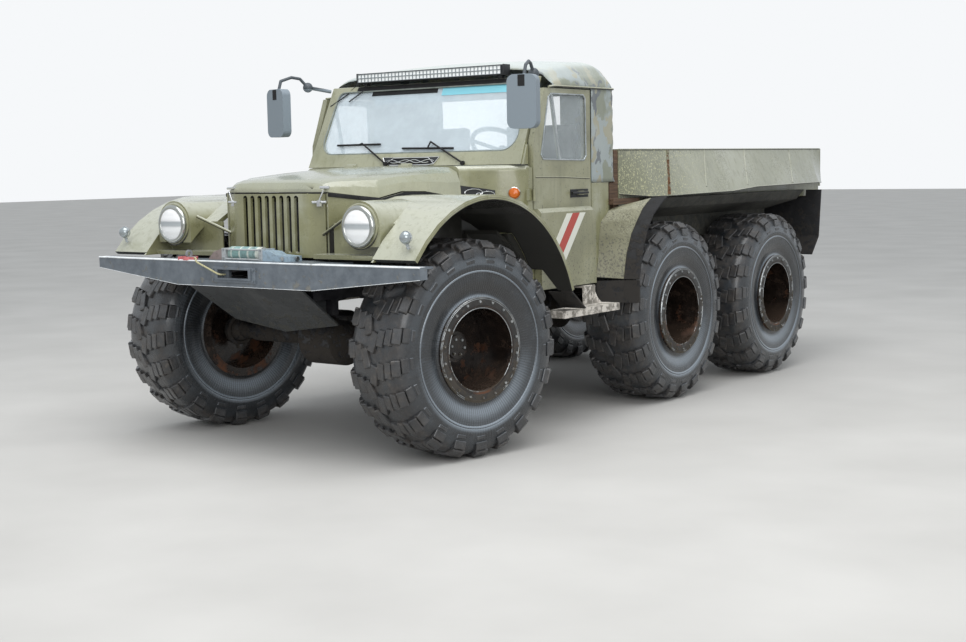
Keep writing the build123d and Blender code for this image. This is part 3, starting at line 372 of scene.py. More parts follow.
# %% Make the enamel
def aged_enamel(name, shade, base, faded, gloss, speckle="#5b5a41", speckle_share=0.62, splash=0.0, shaded_arches=False,
                lichen=False):
    """Sprayed enamel after years outdoors: chalky on top with a painted sky sheen, dusty, streaked, with painted
    shade below.
    """
    material = new_material(name, Metallic=0.0, IOR=1.5, Coat_Weight=0.75, Coat_Roughness=0.16)
    tree = material.node_tree
    at = add_node(tree, "TexCoord", output="Object")
    clouds = add_node(tree, "TexNoise", at, 1000 / 420, 5.0, 0.6)
    colour = add_node(tree, "ValToRGB", clouds, steps=[(0.30, shade), (0.52, base), (0.75, faded)])
    # Upward faces take the faded colour, which is sun chalking and a painted sky sheen; the bonnet's darker one is
    # painted shade.
    colour = add_node(tree, "Mix", upward(tree), colour, faded, data_type="RGBA")
    run = add_node(tree, "MapRange", streaks(tree, at, 30, 420), 0.52, 0.74, 0.0, 0.45)
    colour = add_node(tree, "Mix", run, colour, shade, data_type="RGBA")
    grains = add_node(tree, "TexNoise", at, 1000 / 9, 4.0, 0.7)
    dust = add_node(tree, "MapRange", grains, speckle_share, speckle_share + 0.10, 0.0, 0.55)
    patches = add_node(tree, "MapRange", add_node(tree, "TexNoise", at, 1000 / 210, 3.0), 0.45, 0.62)
    dust = add_node(tree, "Math", dust, patches, operation="MULTIPLY")
    colour = add_node(tree, "Mix", dust, colour, speckle, data_type="RGBA")
    if splash:
        colour = splashed(tree, at, colour, splash)
    if lichen:
        colour = with_lichen(tree, at, colour, shade)
    # Painted shade: faces that look down, and on the front fenders the inside of the wheel arches, turn near black.
    below = upward(tree, -0.12, -0.32)
    if shaded_arches:
        below = add_node(tree, "Math", below, arch_shade(tree, at), operation="MAXIMUM")
    colour = add_node(tree, "Mix", below, colour, "#25241f", data_type="RGBA")
    rough = add_node(tree, "TexNoise", at, 1000 / 60, 5.0, 0.7)
    rough = add_node(tree, "MapRange", rough, 0.3, 0.7, gloss - 0.08, gloss + 0.16)
    rough = add_node(tree, "Math", rough, below, operation="MAXIMUM")
    orange_peel = add_node(tree, "TexNoise", at, 1000 / 14, 3.0, 0.6)
    dents = add_node(tree, "TexNoise", at, 1000 / 260, 2.0, 0.4)
    height = add_node(tree, "Math", orange_peel, 0.10, dents, operation="MULTIPLY_ADD")
    relief = add_node(tree, "Bump", Height=height, Distance=9 * MM, Strength=0.55)
    return set_sockets(material, Base_Color=colour, Roughness=rough, Normal=relief)


print("enamel recipe ready")

# %% Spray the enamels
enamel = aged_enamel("olive_enamel", "#6e6d50", "#82815f", "#a4a594", gloss=0.28, shaded_arches=True)
door_enamel = aged_enamel("door_enamel", "#6b6a52", "#858468", "#9b9b85", gloss=0.36, splash=0.05)
# The bonnet's copy has paler sides and a darker top than the other enamel: painted light on the sides and front,
# painted shade on the top.
bonnet_enamel_painted_light = aged_enamel("bonnet_enamel_painted_light", "#929279", "#a3a38b", "#8c8e7c", gloss=0.26)
bed_enamel = aged_enamel("bed_enamel", "#64664f", "#86876f", "#a5a698", gloss=0.42, speckle="#43452f",
                         speckle_share=0.50, lichen=True)
fender_enamel = aged_enamel("mossy_fender_enamel", "#5f5d42", "#787559", "#8f8d75", gloss=0.42, speckle="#34321f",
                            speckle_share=0.47, splash=0.10)
print("enamels:", enamel.name, bonnet_enamel_painted_light.name, door_enamel.name, bed_enamel.name, fender_enamel.name)

# %% [markdown]
# ## Worn steel, mud and rust
# The bumper is slate-grey paint worn to bare pale steel along its top edge. The chassis is black
# under a coat of dried mud, which is thick low down and thin higher up. Rims are dark brown enamel
# with orange rust inside the barrel. Rust and mud have no gloss, so they show first as roughness.

# %% Steel under mud
def by_height(tree, low_mm, high_mm):
    """0 below the lower height and 1 above the higher one."""
    height = add_node(tree, "SeparateXYZ", add_node(tree, "TexCoord", output="Object"), output="Z")
    return add_node(tree, "MapRange", height, low_mm * MM, high_mm * MM)


def worn_steel(name, base, shade, pale, mud, mud_top=300, mud_none=900, gloss=0.42, metallic=0.0):
    """Painted steel with mud that gets thicker towards the ground; heights are in mm."""
    material = new_material(name, Metallic=metallic)
    tree = material.node_tree
    at = add_node(tree, "TexCoord", output="Object")
    clouds = add_node(tree, "TexNoise", at, 1000 / 70, 6.0, 0.65)
    colour = add_node(tree, "ValToRGB", clouds, steps=[(0.32, shade), (0.5, base), (0.72, pale)])
    cover = add_node(tree, "MapRange", by_height(tree, mud_top, mud_none), 0.0, 1.0, 0.38, 0.68)
    lumps = add_node(tree, "TexNoise", at, 1000 / 45, 6.0, 0.7)
    over = add_node(tree, "MapRange", add_node(tree, "Math", lumps, cover, operation="SUBTRACT"), 0.0, 0.06)
    colour = add_node(tree, "Mix", over, colour, mud, data_type="RGBA")
    rough = add_node(tree, "MapRange", over, 0.0, 1.0, gloss, 0.95)
    height = add_node(tree, "Math", lumps, over, operation="ADD")
    relief = add_node(tree, "Bump", Height=height, Distance=2.5 * MM, Strength=0.7)
    return set_sockets(material, Base_Color=colour, Roughness=rough, Normal=relief)


print("mud tools ready")

# %% Make the steels
chassis_steel = worn_steel("muddy_chassis_steel", "#26262a", "#17171a", "#3a3a3a", mud="#38332d")
axle_steel = worn_steel("muddy_axle_steel", "#232326", "#151517", "#34322f", mud="#332e29", mud_top=450,
                        mud_none=1000)
skid_steel = worn_steel("skid_steel", "#3a3c3d", "#323435", "#424443", mud="#43433f", mud_top=450, mud_none=1000)
bumper_steel = worn_steel("slate_bumper_steel", "#60676e", "#535a61", "#6f767c", mud="#757571", mud_none=1250)
step_steel = worn_steel("muddy_step_steel", "#8b867d", "#66625b", "#a8a299", mud="#cbc5bc", mud_none=1500, gloss=0.7)
underseal = worn_steel("olive_underseal", "#3a3a36", "#2b2b28", "#484840", mud="#4a4840", mud_top=500, mud_none=1700,
                       gloss=0.8)
bright_steel = worn_steel("zinc_plated_steel", "#a9acad", "#84888a", "#c7c9c8", mud="#6b6459", gloss=0.3,
                          metallic=0.9)
print("steels:", chassis_steel.name, bumper_steel.name, bright_steel.name)

# %% Paints that change along a part
def painted_along(name, axis, first, changes, gloss, mud=0.5):
    """Paint that changes along an axis; changes are (mm from the truck's middle or the ground, hex)."""
    material = new_material(name, Metallic=0.0, Roughness=gloss)
    tree = material.node_tree
    at = add_node(tree, "TexCoord", output="Object")
    along = add_node(tree, "SeparateXYZ", at, output=axis)
    colour = first
    for position, code in changes:
        edge = add_node(tree, "MapRange", along, (position - 1) * MM, (position + 1) * MM)
        colour = add_node(tree, "Mix", edge, colour, code, data_type="RGBA")
    dirt = add_node(tree, "MapRange", add_node(tree, "TexNoise", at, 1000 / 28, 6.0, 0.7), 0.50, 0.66, 0.0, mud)
    colour = add_node(tree, "Mix", dirt, colour, "#4d463e", data_type="RGBA")
    grain = add_node(tree, "TexNoise", at, 1000 / 9, 4.0, 0.6)
    relief = add_node(tree, "Bump", Height=grain, Distance=0.8 * MM, Strength=0.5)
    return set_sockets(material, Base_Color=colour, Normal=relief)


mirror_finish = painted_along("mirror_housing_abs", "Z", "#79838b", [(1939, "#454b50")], gloss=0.5, mud=0.0)
winch_steel = painted_along("winch_paint", "X", "#8c7f7b", [(-238, "#a9adae"), (58, "#93a7b4")], gloss=0.38)
red_paint = painted_along("faded_red_paint", "Z", "#bf6a6c", [(1014.5, "#7f8386")], gloss=0.45, mud=0.3)
print("paints in steps:", mirror_finish.name, winch_steel.name, red_paint.name)

# %% Rust on the rims
def rusty_rim():
    """Dark brown enamel with orange rust in the barrel's depth, and a painted sky reflection that makes it paler
    where it looks up.
    """
    material = new_material("brown_rim_enamel", Metallic=0.0)
    tree = material.node_tree
    at = add_node(tree, "TexCoord", output="Object")
    clouds = add_node(tree, "TexNoise", at, 1000 / 55, 6.0, 0.65)
    colour = add_node(tree, "ValToRGB", clouds, steps=[(0.35, "#15110f"), (0.55, "#241d19"), (0.74, "#41352d")])
    low = add_node(tree, "MapRange", by_height(tree, 330, 560), 0.0, 1.0, 0.07, -0.06)
    lumps = add_node(tree, "TexNoise", at, 1000 / 120, 5.0, 0.65)
    lumps = add_node(tree, "Math", lumps, low, operation="ADD")
    rust = add_node(tree, "MapRange", lumps, 0.56, 0.68, 0.0, 0.8)
    colour = add_node(tree, "Mix", rust, colour, "#5f3a22", data_type="RGBA")
    # Painted sky reflection: faces that look up turn paler.
    colour = add_node(tree, "Mix", upward(tree, 0.3, 1.0), colour, "#40352d", data_type="RGBA")
    rough = add_node(tree, "MapRange", rust, 0.0, 1.0, 0.22, 0.8)
    pits = add_node(tree, "TexNoise", at, 1000 / 10, 5.0, 0.7)
    relief = add_node(tree, "Bump", Height=pits, Distance=0.8 * MM, Strength=0.6)
    return set_sockets(material, Base_Color=colour, Roughness=rough, Normal=relief)


rim_enamel = rusty_rim()
print("rims:", rim_enamel.name)

# %% [markdown]
# ## Rubber, plastic, chrome and glass
# Plastics here are grained black, and the seals and flaps are a duller black rubber. Chrome is a
# mirror-like metal, so it needs little more than its low roughness. The panes are safety glass,
# mostly clear, with a pale blue-white colour that stands for dust and a painted sky reflection. The
# visor is a painted board and the bed stands on brown planks.

# %% Plastic and rubber
def grained_plastic(name, base, pale, roughness=0.55):
    """Moulded plastic or rubber with a leather grain, drawn coarser than real so that it shows."""
    material = new_material(name, Roughness=roughness, IOR=1.46)
    tree = material.node_tree
    at = add_node(tree, "TexCoord", output="Object")
    clouds = add_node(tree, "TexNoise", at, 1000 / 55, 5.0, 0.6)
    colour = add_node(tree, "ValToRGB", clouds, steps=[(0.35, base), (0.75, pale)])
    grain = add_node(tree, "TexNoise", at, 1000 / 6.4, 3.0, 0.6)
    relief = add_node(tree, "Bump", Height=grain, Distance=0.4 * MM, Strength=0.6)
    return set_sockets(material, Base_Color=colour, Normal=relief)


black_plastic = grained_plastic("black_grained_abs", "#1b1c1e", "#2d2f32")
seal_rubber = grained_plastic("black_seal_rubber", "#0f0f10", "#202022", roughness=0.8)
gasket_rubber = grained_plastic("grey_gasket_rubber", "#6d746f", "#8f9690")
visor_board = grained_plastic("blue_grey_visor_board", "#4f7d93", "#6592a6", roughness=0.6)
flap_rubber = worn_steel("mud_flap_rubber", "#151517", "#0e0e10", "#222224", mud="#2c2926", mud_top=700,
                         mud_none=1400, gloss=0.75)
print("grained:", black_plastic.name, seal_rubber.name, gasket_rubber.name, visor_board.name)

# %% Chrome, lamp glass and panes
lamp_grey = new_material("grey_lamp_housing", Roughness=0.2, Metallic=0.6, Base_Color="#9aa1a3")
satin_chrome = new_material("satin_chrome", Roughness=0.2, Metallic=1.0, Base_Color="#b3b5b0")
mirror_glass = new_material("silvered_glass", Roughness=0.03, Metallic=1.0, Base_Color="#b9c3c8")
amber_lens = new_material("amber_acrylic", Roughness=0.12, IOR=1.49, Transmission_Weight=0.15, Base_Color="#d2691e")
red_lens = new_material("red_acrylic", Roughness=0.12, IOR=1.49, Base_Color="#9c1f1b")
bulb_white = new_material("frosted_bulb", Roughness=0.4, Base_Color="#e6e6de")


def chrome_plate():
    """Bright chrome, dulled in cloudy patches."""
    material = new_material("chrome_plate", Metallic=1.0, Base_Color="#d9dadb")
    tree = material.node_tree
    haze = add_node(tree, "TexNoise", add_node(tree, "TexCoord", output="Object"), 1000 / 20, 4.0, 0.7)
    return set_sockets(material, Roughness=add_node(tree, "MapRange", haze, 0.35, 0.75, 0.06, 0.30))


def safety_glass(name, sky_and_dust_tint, cover):
    """A clear pane: most light passes; a little dust and a painted sky reflection stay on it as a pale colour."""
    material = new_material(name, Roughness=0.04, IOR=1.5, Base_Color=sky_and_dust_tint)
    tree = material.node_tree
    dust = add_node(tree, "TexNoise", add_node(tree, "TexCoord", output="Object"), 1000 / 120, 5.0, 0.6)
    return set_sockets(material, Alpha=add_node(tree, "MapRange", dust, 0.4, 0.8, cover, cover + 0.10))


chrome = chrome_plate()
# The panes' pale, partly opaque colour stands for dust and a painted sky reflection.
screen_glass = safety_glass("windscreen_glass", "#dbe7ee", 0.42)
door_glass = safety_glass("door_glass", "#c9d2d4", 0.24)
print("glass and chrome:", chrome.name, screen_glass.name, door_glass.name)

# %% Timber and rope fibre
def weathered_timber():
    """Brown painted planks: grain runs along the truck."""
    material = new_material("weathered_timber", Roughness=0.8)
    tree = material.node_tree
    grain = add_node(tree, "Mapping", add_node(tree, "TexCoord", output="Object"), Scale=(1.0, 0.05, 1.0))
    lines = add_node(tree, "TexNoise", grain, 1000 / 8, 5.0, 0.7)
    colour = add_node(tree, "ValToRGB", lines, steps=[(0.35, "#3b2b20"), (0.55, "#5b4635"), (0.75, "#76634e")])
    relief = add_node(tree, "Bump", Height=lines, Distance=1.5 * MM, Strength=0.6)
    return set_sockets(material, Base_Color=colour, Normal=relief)


def braided_rope():
    """Pale synthetic rope: a fine diagonal braid that shows as small diamonds."""
    material = new_material("braided_polyester_rope", Roughness=0.85)
    tree = material.node_tree
    twist = add_node(tree, "TexWave", add_node(tree, "TexCoord", output="Object"), Scale=90.0, Distortion=2.0,
                     bands_direction="DIAGONAL", output="Fac")
    colour = add_node(tree, "ValToRGB", twist, steps=[(0.2, "#8c8763"), (0.6, "#c9c39c")])
    relief = add_node(tree, "Bump", Height=twist, Distance=1 * MM, Strength=0.8)
    return set_sockets(material, Base_Color=colour, Normal=relief)


timber = weathered_timber()
rope_fibre = braided_rope()
print("timber:", timber.name, "rope:", rope_fibre.name)

# %% [markdown]
# ## Dress the panels
# Pressed steel never has a knife edge. Each panel that shows is copied, its loose triangles merged,
# and its edges rounded by a few millimetres, so that they catch the light as folded sheet does. The
# copy stands for the solid and rides on the same body.

# %% Round the panels' edges
PANELS = [
    # solid, body, material, edge radius in mm
    ("bonnet", "bonnet", bonnet_enamel_painted_light, 3.0),
    ("front_fenders", "chassis", enamel, 3.0),
    ("cowl", "chassis", enamel, 3.0),
    ("grille", "chassis", enamel, 2.5),
    ("windscreen_frame", "chassis", enamel, 3.0),
    ("cab_rear", "chassis", enamel, 3.0),
    ("cab_floor", "chassis", chassis_steel, 2.0),
    ("rear_fenders", "chassis", fender_enamel, 3.0),
    ("cargo_bed", "chassis", bed_enamel, 2.5),
    ("tailgate", "tailgate", bed_enamel, 3.0),
    ("door_left", "door_left", door_enamel, 2.5),
    ("door_right", "door_right", door_enamel, 2.5),
    ("bumper", "chassis", bumper_steel, 1.5),
    ("skid_plate", "chassis", skid_steel, 2.0),
    ("winch", "chassis", winch_steel, 1.5),
    ("winch_hook", "chassis", red_paint, 2.0),
    ("wheel_wells", "chassis", underseal, 2.0),
    ("sun_visor", "chassis", visor_board, 3.0),
    ("gear_levers", "chassis", black_plastic, 1.0),
    ("tail_lamps", "chassis", black_plastic, 2.0),
    ("steps", "chassis", step_steel, 2.0),
    ("mud_flaps", "chassis", flap_rubber, 1.5),
    ("bed_frame", "chassis", timber, 3.0),
    ("light_bar", "chassis", black_plastic, 3.0),
    ("mirrors", "chassis", mirror_finish, 3.0),
    ("steering_wheel", "chassis", black_plastic, 1.5),
]
for panel in PANELS:
    dressed_copy(*panel)
print("panels dressed:", len(PANELS))

# %% Finish the solids that show as they are
PLAIN_FINISH = {
    "frame": chassis_steel, "engine": chassis_steel, "seat_boxes": chassis_steel, "springs": axle_steel,
    "driveshafts": axle_steel, "front_axle": axle_steel, "rear_axles": axle_steel, "knuckle_left": axle_steel,
    "knuckle_right": axle_steel, "position_lamps": lamp_grey, "turn_lamps": amber_lens, "wipers": seal_rubber,
    "windscreen_glass": screen_glass, "door_glass_left": door_glass, "door_glass_right": door_glass,
}
PLAIN_FINISH.update({solid: rim_enamel for solid in NODES if solid.startswith("rim_")})
for solid, material in PLAIN_FINISH.items():
    NODES[solid].data.materials.clear()
    NODES[solid].data.materials.append(material)
rope.data.materials.append(rope_fibre)
print("plain finishes:", len(PLAIN_FINISH))

# %% [markdown]
# ## Balloon tyres
# These are low-pressure off-road tyres, 1.1 m high. The carcass is a spun profile: a flat crown, a
# round shoulder and a tall sidewall with a raised ring. On it stand rubber blocks, six to each half
# of a row, smaller and lower towards the sidewall. The blocks of one half row are bevelled once, then
# copied round the tyre. A UV map that runs round the tyre carries the fine ribs of the sidewall.

# %% Tyre sizes
TYRE_R, LUGS_ROUND, TYRE_SEGMENTS = 548.5, 21, 96
TYRE_PROFILE = [
    # across the tyre, radius, in mm
    (0, 536), (120, 534), (150, 526), (173, 511), (189, 490), (197, 467), (201, 446), (204, 424), (204, 404),
    (201, 396), (204, 392), (203, 386), (200, 382), (199, 362), (198, 346), (194, 326), (187, 303), (181, 284),
    (183, 270), (186, 262), (188, 258),
]
# How far each wheel is turned, in steps of 7 degrees, so that no two treads stand alike
WHEEL_TURNS = {"front_left": 3, "front_right": 11, "mid_left": 6, "mid_right": 2, "rear_left": 14, "rear_right": 9}
print("tyre profile points:", len(TYRE_PROFILE))

# %% Spin a profile and put it on a wheel
def spin_line(bm, points, axis, segments):
    """Turns a line of points in mm about an axis through the origin, and gives back the new vertices."""
    before = set(bm.verts)
    verts = [bm.verts.new(Vector(point) * MM) for point in points]
    edges = [bm.edges.new(pair) for pair in zip(verts, verts[1:])]
    bmesh.ops.spin(bm, geom=verts + edges, cent=(0, 0, 0), axis=axis, angle=2 * math.pi, steps=segments,
                   use_merge=True)
    bmesh.ops.remove_doubles(bm, verts=[v for v in bm.verts if v not in before], dist=0.02 * MM)
    return [v for v in bm.verts if v not in before]


def spin_profile(bm, profile, segments=TYRE_SEGMENTS):
    """Turns an open profile of (across, radius) points about the X axis."""
    spin_line(bm, [(across, 0, radius) for across, radius in profile], (1, 0, 0), segments)


def to_wheel(bm, corner):
    """Puts a mesh drawn about the X axis, its outer side at +X, on its wheel; mirrored on the right."""
    joint = next(j for j in frame["joints"] if j["name"] == "spin_" + corner)
    axis, upright = Vector(joint["axis"]), Vector((0, 0, 1))
    turn = Matrix((axis, upright.cross(axis), upright)).transposed().to_4x4()
    roll = Matrix.Rotation(math.radians(WHEEL_TURNS[corner] * 7.0), 4, "X")
    flip = Matrix.Scale(-1 if corner.endswith("right") else 1, 4, Vector((1, 0, 0)))
    bmesh.ops.transform(bm, matrix=Matrix.Translation(Vector(joint["pos_m"])) @ turn @ roll @ flip, verts=bm.verts)
    if corner.endswith("right"):
        bmesh.ops.reverse_faces(bm, faces=bm.faces)


print("wheel tools ready")

# %% The tread's surface
CROWN_FLAT, SHOULDER_R, CROWN_DROP = 136, 68, 4


def on_tread(along):
    """Across, radius and lean of the tread's surface at a distance along it from the middle, in mm."""
    if along < CROWN_FLAT:
        return along, TYRE_R - CROWN_DROP * (along / CROWN_FLAT) ** 2, 0.0
    angle = (along - CROWN_FLAT) / SHOULDER_R
    middle = TYRE_R - CROWN_DROP - SHOULDER_R
    if angle < math.pi / 2:
        return CROWN_FLAT + SHOULDER_R * math.sin(angle), middle + SHOULDER_R * math.cos(angle), angle
    below = along - CROWN_FLAT - SHOULDER_R * math.pi / 2
    return CROWN_FLAT + SHOULDER_R, middle - below, math.pi / 2


print("half the tread is", round(on_tread(300)[0]), "mm wide")

# %% One tread block
ROOT_DEPTH = 22
BLOCK_ROW = [
    # distance along the tread, width, length, skew in degrees, lag in degrees, height
    (27, 53, 108, -18, -1.0, 17),
    (82, 49, 88, -8, 1.2, 17),
    (134, 48, 86, -4, 2.3, 17),
    (186, 47, 84, 0, 3.4, 16),
    (237, 44, 76, 3, 4.4, 8),
    (279, 24, 62, 4, 5.0, 3),
]


def tread_block(bm, along, width, length, skew, lag, height):
    """A bevelled rubber block with its root in the carcass."""
    made = bmesh.ops.create_cube(bm, size=1.0)["verts"]
    reach = height + ROOT_DEPTH
    bmesh.ops.scale(bm, verts=made, vec=Vector((width, length, reach)) * MM)
    bmesh.ops.scale(bm, verts=[v for v in made if v.co.z > 0], vec=Vector((0.94, 0.94, 1)))
    bmesh.ops.rotate(bm, verts=made, cent=(0, 0, 0), matrix=Matrix.Rotation(math.radians(skew), 3, "Z"))
    bmesh.ops.translate(bm, verts=made, vec=Vector((0, 0, -reach / 2 * MM)))
    sharp = list({e for v in made for e in v.link_edges if any(w.co.z > -reach / 2 * MM for w in e.verts)})
    across, radius, lean = on_tread(along)
    seat = Matrix.Translation(Vector((across, 0, radius)) * MM) @ Matrix.Rotation(lean, 4, "Y")
    bmesh.ops.transform(bm, matrix=Matrix.Rotation(math.radians(-lag), 4, "X") @ seat, verts=made)
    round_edges(bm, sharp, 3.5, segments=1)


print("blocks in half a row:", len(BLOCK_ROW))

# %% A whole tyre
def wrap_around(bm):
    """A UV map that runs round the axle: u is the turn, v the radius in metres."""
    layer = bm.loops.layers.uv.new("around")
    for face in bm.faces:
        centre = face.calc_center_median()
        middle = math.atan2(centre.y, centre.z)
        for loop in face.loops:
            angle = math.atan2(loop.vert.co.y, loop.vert.co.z)
            angle += 2 * math.pi * round((middle - angle) / (2 * math.pi))
            radius = math.hypot(loop.vert.co.y, loop.vert.co.z)
            loop[layer].uv = (angle / (2 * math.pi), radius)


def half_row_mesh():
    """The blocks of one half row as a mesh, with the second material."""
    row = bmesh.new()
    for block in BLOCK_ROW:
        tread_block(row, *block)
    for face in row.faces:
        face.material_index = 1
    mesh = bpy.data.meshes.new("tread_row")
    row.to_mesh(mesh)
    row.free()
    return mesh


def tyre_mesh():
    """Carcass and blocks about the X axis; the two halves stand half a pitch apart."""
    bm = bmesh.new()
    spin_profile(bm, [(-x, r) for x, r in reversed(TYRE_PROFILE[1:])] + TYRE_PROFILE)
    bmesh.ops.recalc_face_normals(bm, faces=bm.faces)
    row_mesh = half_row_mesh()
    pitch = 2 * math.pi / LUGS_ROUND
    for side, phase in ((1, 0.5), (-1, 0.0)):
        for i in range(LUGS_ROUND):
            before = len(bm.verts)
            bm.from_mesh(row_mesh)
            bm.verts.ensure_lookup_table()
            made = bm.verts[before:]
            if side < 0:
                bmesh.ops.scale(bm, verts=made, vec=Vector((-1, 1, 1)))
                bmesh.ops.reverse_faces(bm, faces=list({f for v in made for f in v.link_faces}))
            bmesh.ops.rotate(bm, verts=made, cent=(0, 0, 0), matrix=Matrix.Rotation(pitch * (i + phase), 3, "X"))
    wrap_around(bm)
    mesh = bpy.data.meshes.new("tyre")
    bm.to_mesh(mesh)
    bm.free()
    bpy.data.meshes.remove(row_mesh)
    return mesh


print("blocks on a tyre:", 2 * LUGS_ROUND * len(BLOCK_ROW))

# %% [markdown]
# ## Tyre rubber
# Old tyre rubber is blue-black and a little shiny where it is rubbed, and brown-grey where clay has
# dried between the blocks. The radius decides how much clay there is: none on the rubbed sidewall,
# much on the crown between the blocks. A painted sky sheen lightens the sidewall's upward half, and
# painted shade darkens its lower half. A painted highlight lies on the ring round it, and fine ribs
# run outwards with painted shade between them, drawn from the turn in the UV map.

# %% Clay, painted sheen and shade, and dried splashes
RIBS_ROUND = 150
RING_PITCH = 12 * MM


def clay_cover(tree, at, radius):
    """1 where clay covers the rubber: in lumps, from the shoulder up to the crown."""
    crown = add_node(tree, "MapRange", radius, 0.470, 0.515)
    lumps = add_node(tree, "MapRange", add_node(tree, "TexNoise", at, 1000 / 60, 6.0, 0.7), 0.42, 0.62)
    return add_node(tree, "Math", crown, lumps, operation="MULTIPLY")


def sidewall_splashes_and_painted_light(tree, at, radius, colour):
    """Dried splashes, then a painted sky sheen on the sidewall's upward half and painted shade on its lower half."""
    splash = add_node(tree, "TexNoise", at, 1000 / 26, 6.0, 0.75)
    splash = add_node(tree, "MapRange", splash, 0.60, 0.70, 0.0, 0.45)
    colour = add_node(tree, "Mix", splash, colour, "#5d5852", data_type="RGBA")
    belt = add_node(tree, "MapRange", radius, 0.47, 0.40, 0.0, 0.9)
    # Painted light: a pale sky sheen where the sidewall looks up, near-black painted shade where it looks down.
    for start, end, tone in ((0.0, 0.30, "#87919a"), (0.02, -0.25, "#08090b")):
        share = add_node(tree, "Math", upward(tree, start, end), belt, operation="MULTIPLY")
        colour = add_node(tree, "Mix", share, colour, tone, data_type="RGBA")
    return colour


print("ribs round the sidewall:", RIBS_ROUND)

# %% Ribs and rings
def ribs_and_ring_painted_light(tree, turn, radius, colour):
    """Fine ribs near the rim with painted shade between them, and a painted highlight on the ring round the
    sidewall; gives back the ribs' wave too.
    """
    wave = add_node(tree, "Math", turn, 2 * math.pi * RIBS_ROUND, operation="MULTIPLY")
    wave = add_node(tree, "Math", wave, operation="SINE")
    # Painted shade between the ribs: the dark half of every rib's wave.
    inner = add_node(tree, "MapRange", radius, 0.39, 0.375, 0.0, 0.5)
    ribs = add_node(tree, "Math", inner, add_node(tree, "MapRange", wave), operation="MULTIPLY")
    colour = add_node(tree, "Mix", ribs, colour, "#0d0f12", data_type="RGBA")
    # Painted highlight: a pale line on the ring round the sidewall.
    ring_painted_highlight = add_node(tree, "MapRange", radius, 0.3855, 0.3875, 0.0, 0.6)
    beyond = add_node(tree, "MapRange", radius, 0.3925, 0.3945)
    ring_painted_highlight = add_node(tree, "Mix", beyond, ring_painted_highlight, "#000000", data_type="RGBA")
    return add_node(tree, "Mix", ring_painted_highlight, colour, "#79828b", data_type="RGBA"), wave


def tyre_relief(tree, at, radius, wave):
    """Ribs and rings on the sidewall over lumpy clay, as one height."""
    rings = add_node(tree, "Math", radius, 2 * math.pi / RING_PITCH, operation="MULTIPLY")
    rings = add_node(tree, "Math", rings, operation="SINE")
    side_only = add_node(tree, "MapRange", radius, 0.40, 0.47, 1.0, 0.0)
    fine = add_node(tree, "Math", rings, 0.5, wave, operation="MULTIPLY_ADD")
    fine = add_node(tree, "Math", fine, side_only, operation="MULTIPLY")
    rough_clay = add_node(tree, "TexNoise", at, 1000 / 18, 6.0, 0.75)
    return add_node(tree, "Math", fine, 0.12, rough_clay, operation="MULTIPLY_ADD")


print("rings on the sidewall every", round(RING_PITCH / MM), "mm")

# %% Make the rubber and the six treads
def tyre_rubber(name, side_colours, clay_colours, wet):
    """Rubber whose cover follows the radius: rubbed and wet on the side, clay on the crown."""
    material = new_material(name, Metallic=0.0, IOR=1.52, Coat_Weight=wet, Coat_Roughness=0.22)
    tree = material.node_tree
    at = add_node(tree, "TexCoord", output="Object")
    around = add_node(tree, "UVMap", uv_map="around")
    turn, radius = [add_node(tree, "SeparateXYZ", around, output=axis) for axis in "XY"]
    cloud = add_node(tree, "TexNoise", at, 1000 / 90, 6.0, 0.65)
    side = add_node(tree, "ValToRGB", cloud, steps=list(zip((0.35, 0.55, 0.75), side_colours)))
    cloud = add_node(tree, "TexNoise", at, 1000 / 35, 6.0, 0.7)
    clay = add_node(tree, "ValToRGB", cloud, steps=list(zip((0.3, 0.5, 0.72), clay_colours)))
    cover = clay_cover(tree, at, radius)
    colour = add_node(tree, "Mix", cover, side, clay, data_type="RGBA")
    colour = sidewall_splashes_and_painted_light(tree, at, radius, colour)
    colour, wave = ribs_and_ring_painted_light(tree, turn, radius, colour)
    rough = add_node(tree, "Math", cover, 0.34, 0.34, operation="MULTIPLY_ADD")
    relief = add_node(tree, "Bump", Height=tyre_relief(tree, at, radius, wave), Distance=6 * MM, Strength=0.85)
    return set_sockets(material, Base_Color=colour, Roughness=rough, Normal=relief)


rubber = tyre_rubber("muddy_tyre_rubber", ("#14171b", "#20252a", "#363c42"), ("#242220", "#34302e", "#524c46"),
                     wet=0.7)
block_rubber = tyre_rubber("worn_block_rubber", ("#1f2022", "#2e2f31", "#484849"), ("#262422", "#383431", "#5c564f"),
                           wet=0.6)
pattern = tyre_mesh()
for corner in WHEEL_TURNS:
    bm = bmesh.new()
    bm.from_mesh(pattern)
    to_wheel(bm, corner)
    tyre = finish_piece(bm, "tyre_" + corner + "_tread", [rubber, block_rubber], "wheel_" + corner, smooth=30)
    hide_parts("tyre_" + corner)
bpy.data.meshes.remove(pattern)
print("triangles on a tyre:", sum(len(p.vertices) - 2 for p in tyre.data.polygons))

# %% [markdown]
# ## Beadlock rims
# The rim's barrel and disc are the solid itself. On it lies the lock ring's face, dark enamel outside
# and rust-brown inside, held by eighteen small bolts with bright heads; the hub has six nuts. Thin
# bright edges show where the ring is scuffed.

# %% Bolts and scuffed edges
RIM_BOLTS, RIM_BOLT_R = 18, 241
HUB_NUTS, HUB_NUT_R = 6, 42
SCUFFED_EDGES = [
    # across the wheel, radius, in mm
    [(203.5, 259.5), (206, 260.5), (206.5, 262), (204, 263.5), (198, 263)],
    [(204.9, 252.5), (206.0, 253.5), (206.0, 255.5), (204.9, 256.5)],
    [(204.4, 207.0), (205.6, 208.0), (205.6, 210.0), (204.4, 211.0)],
]


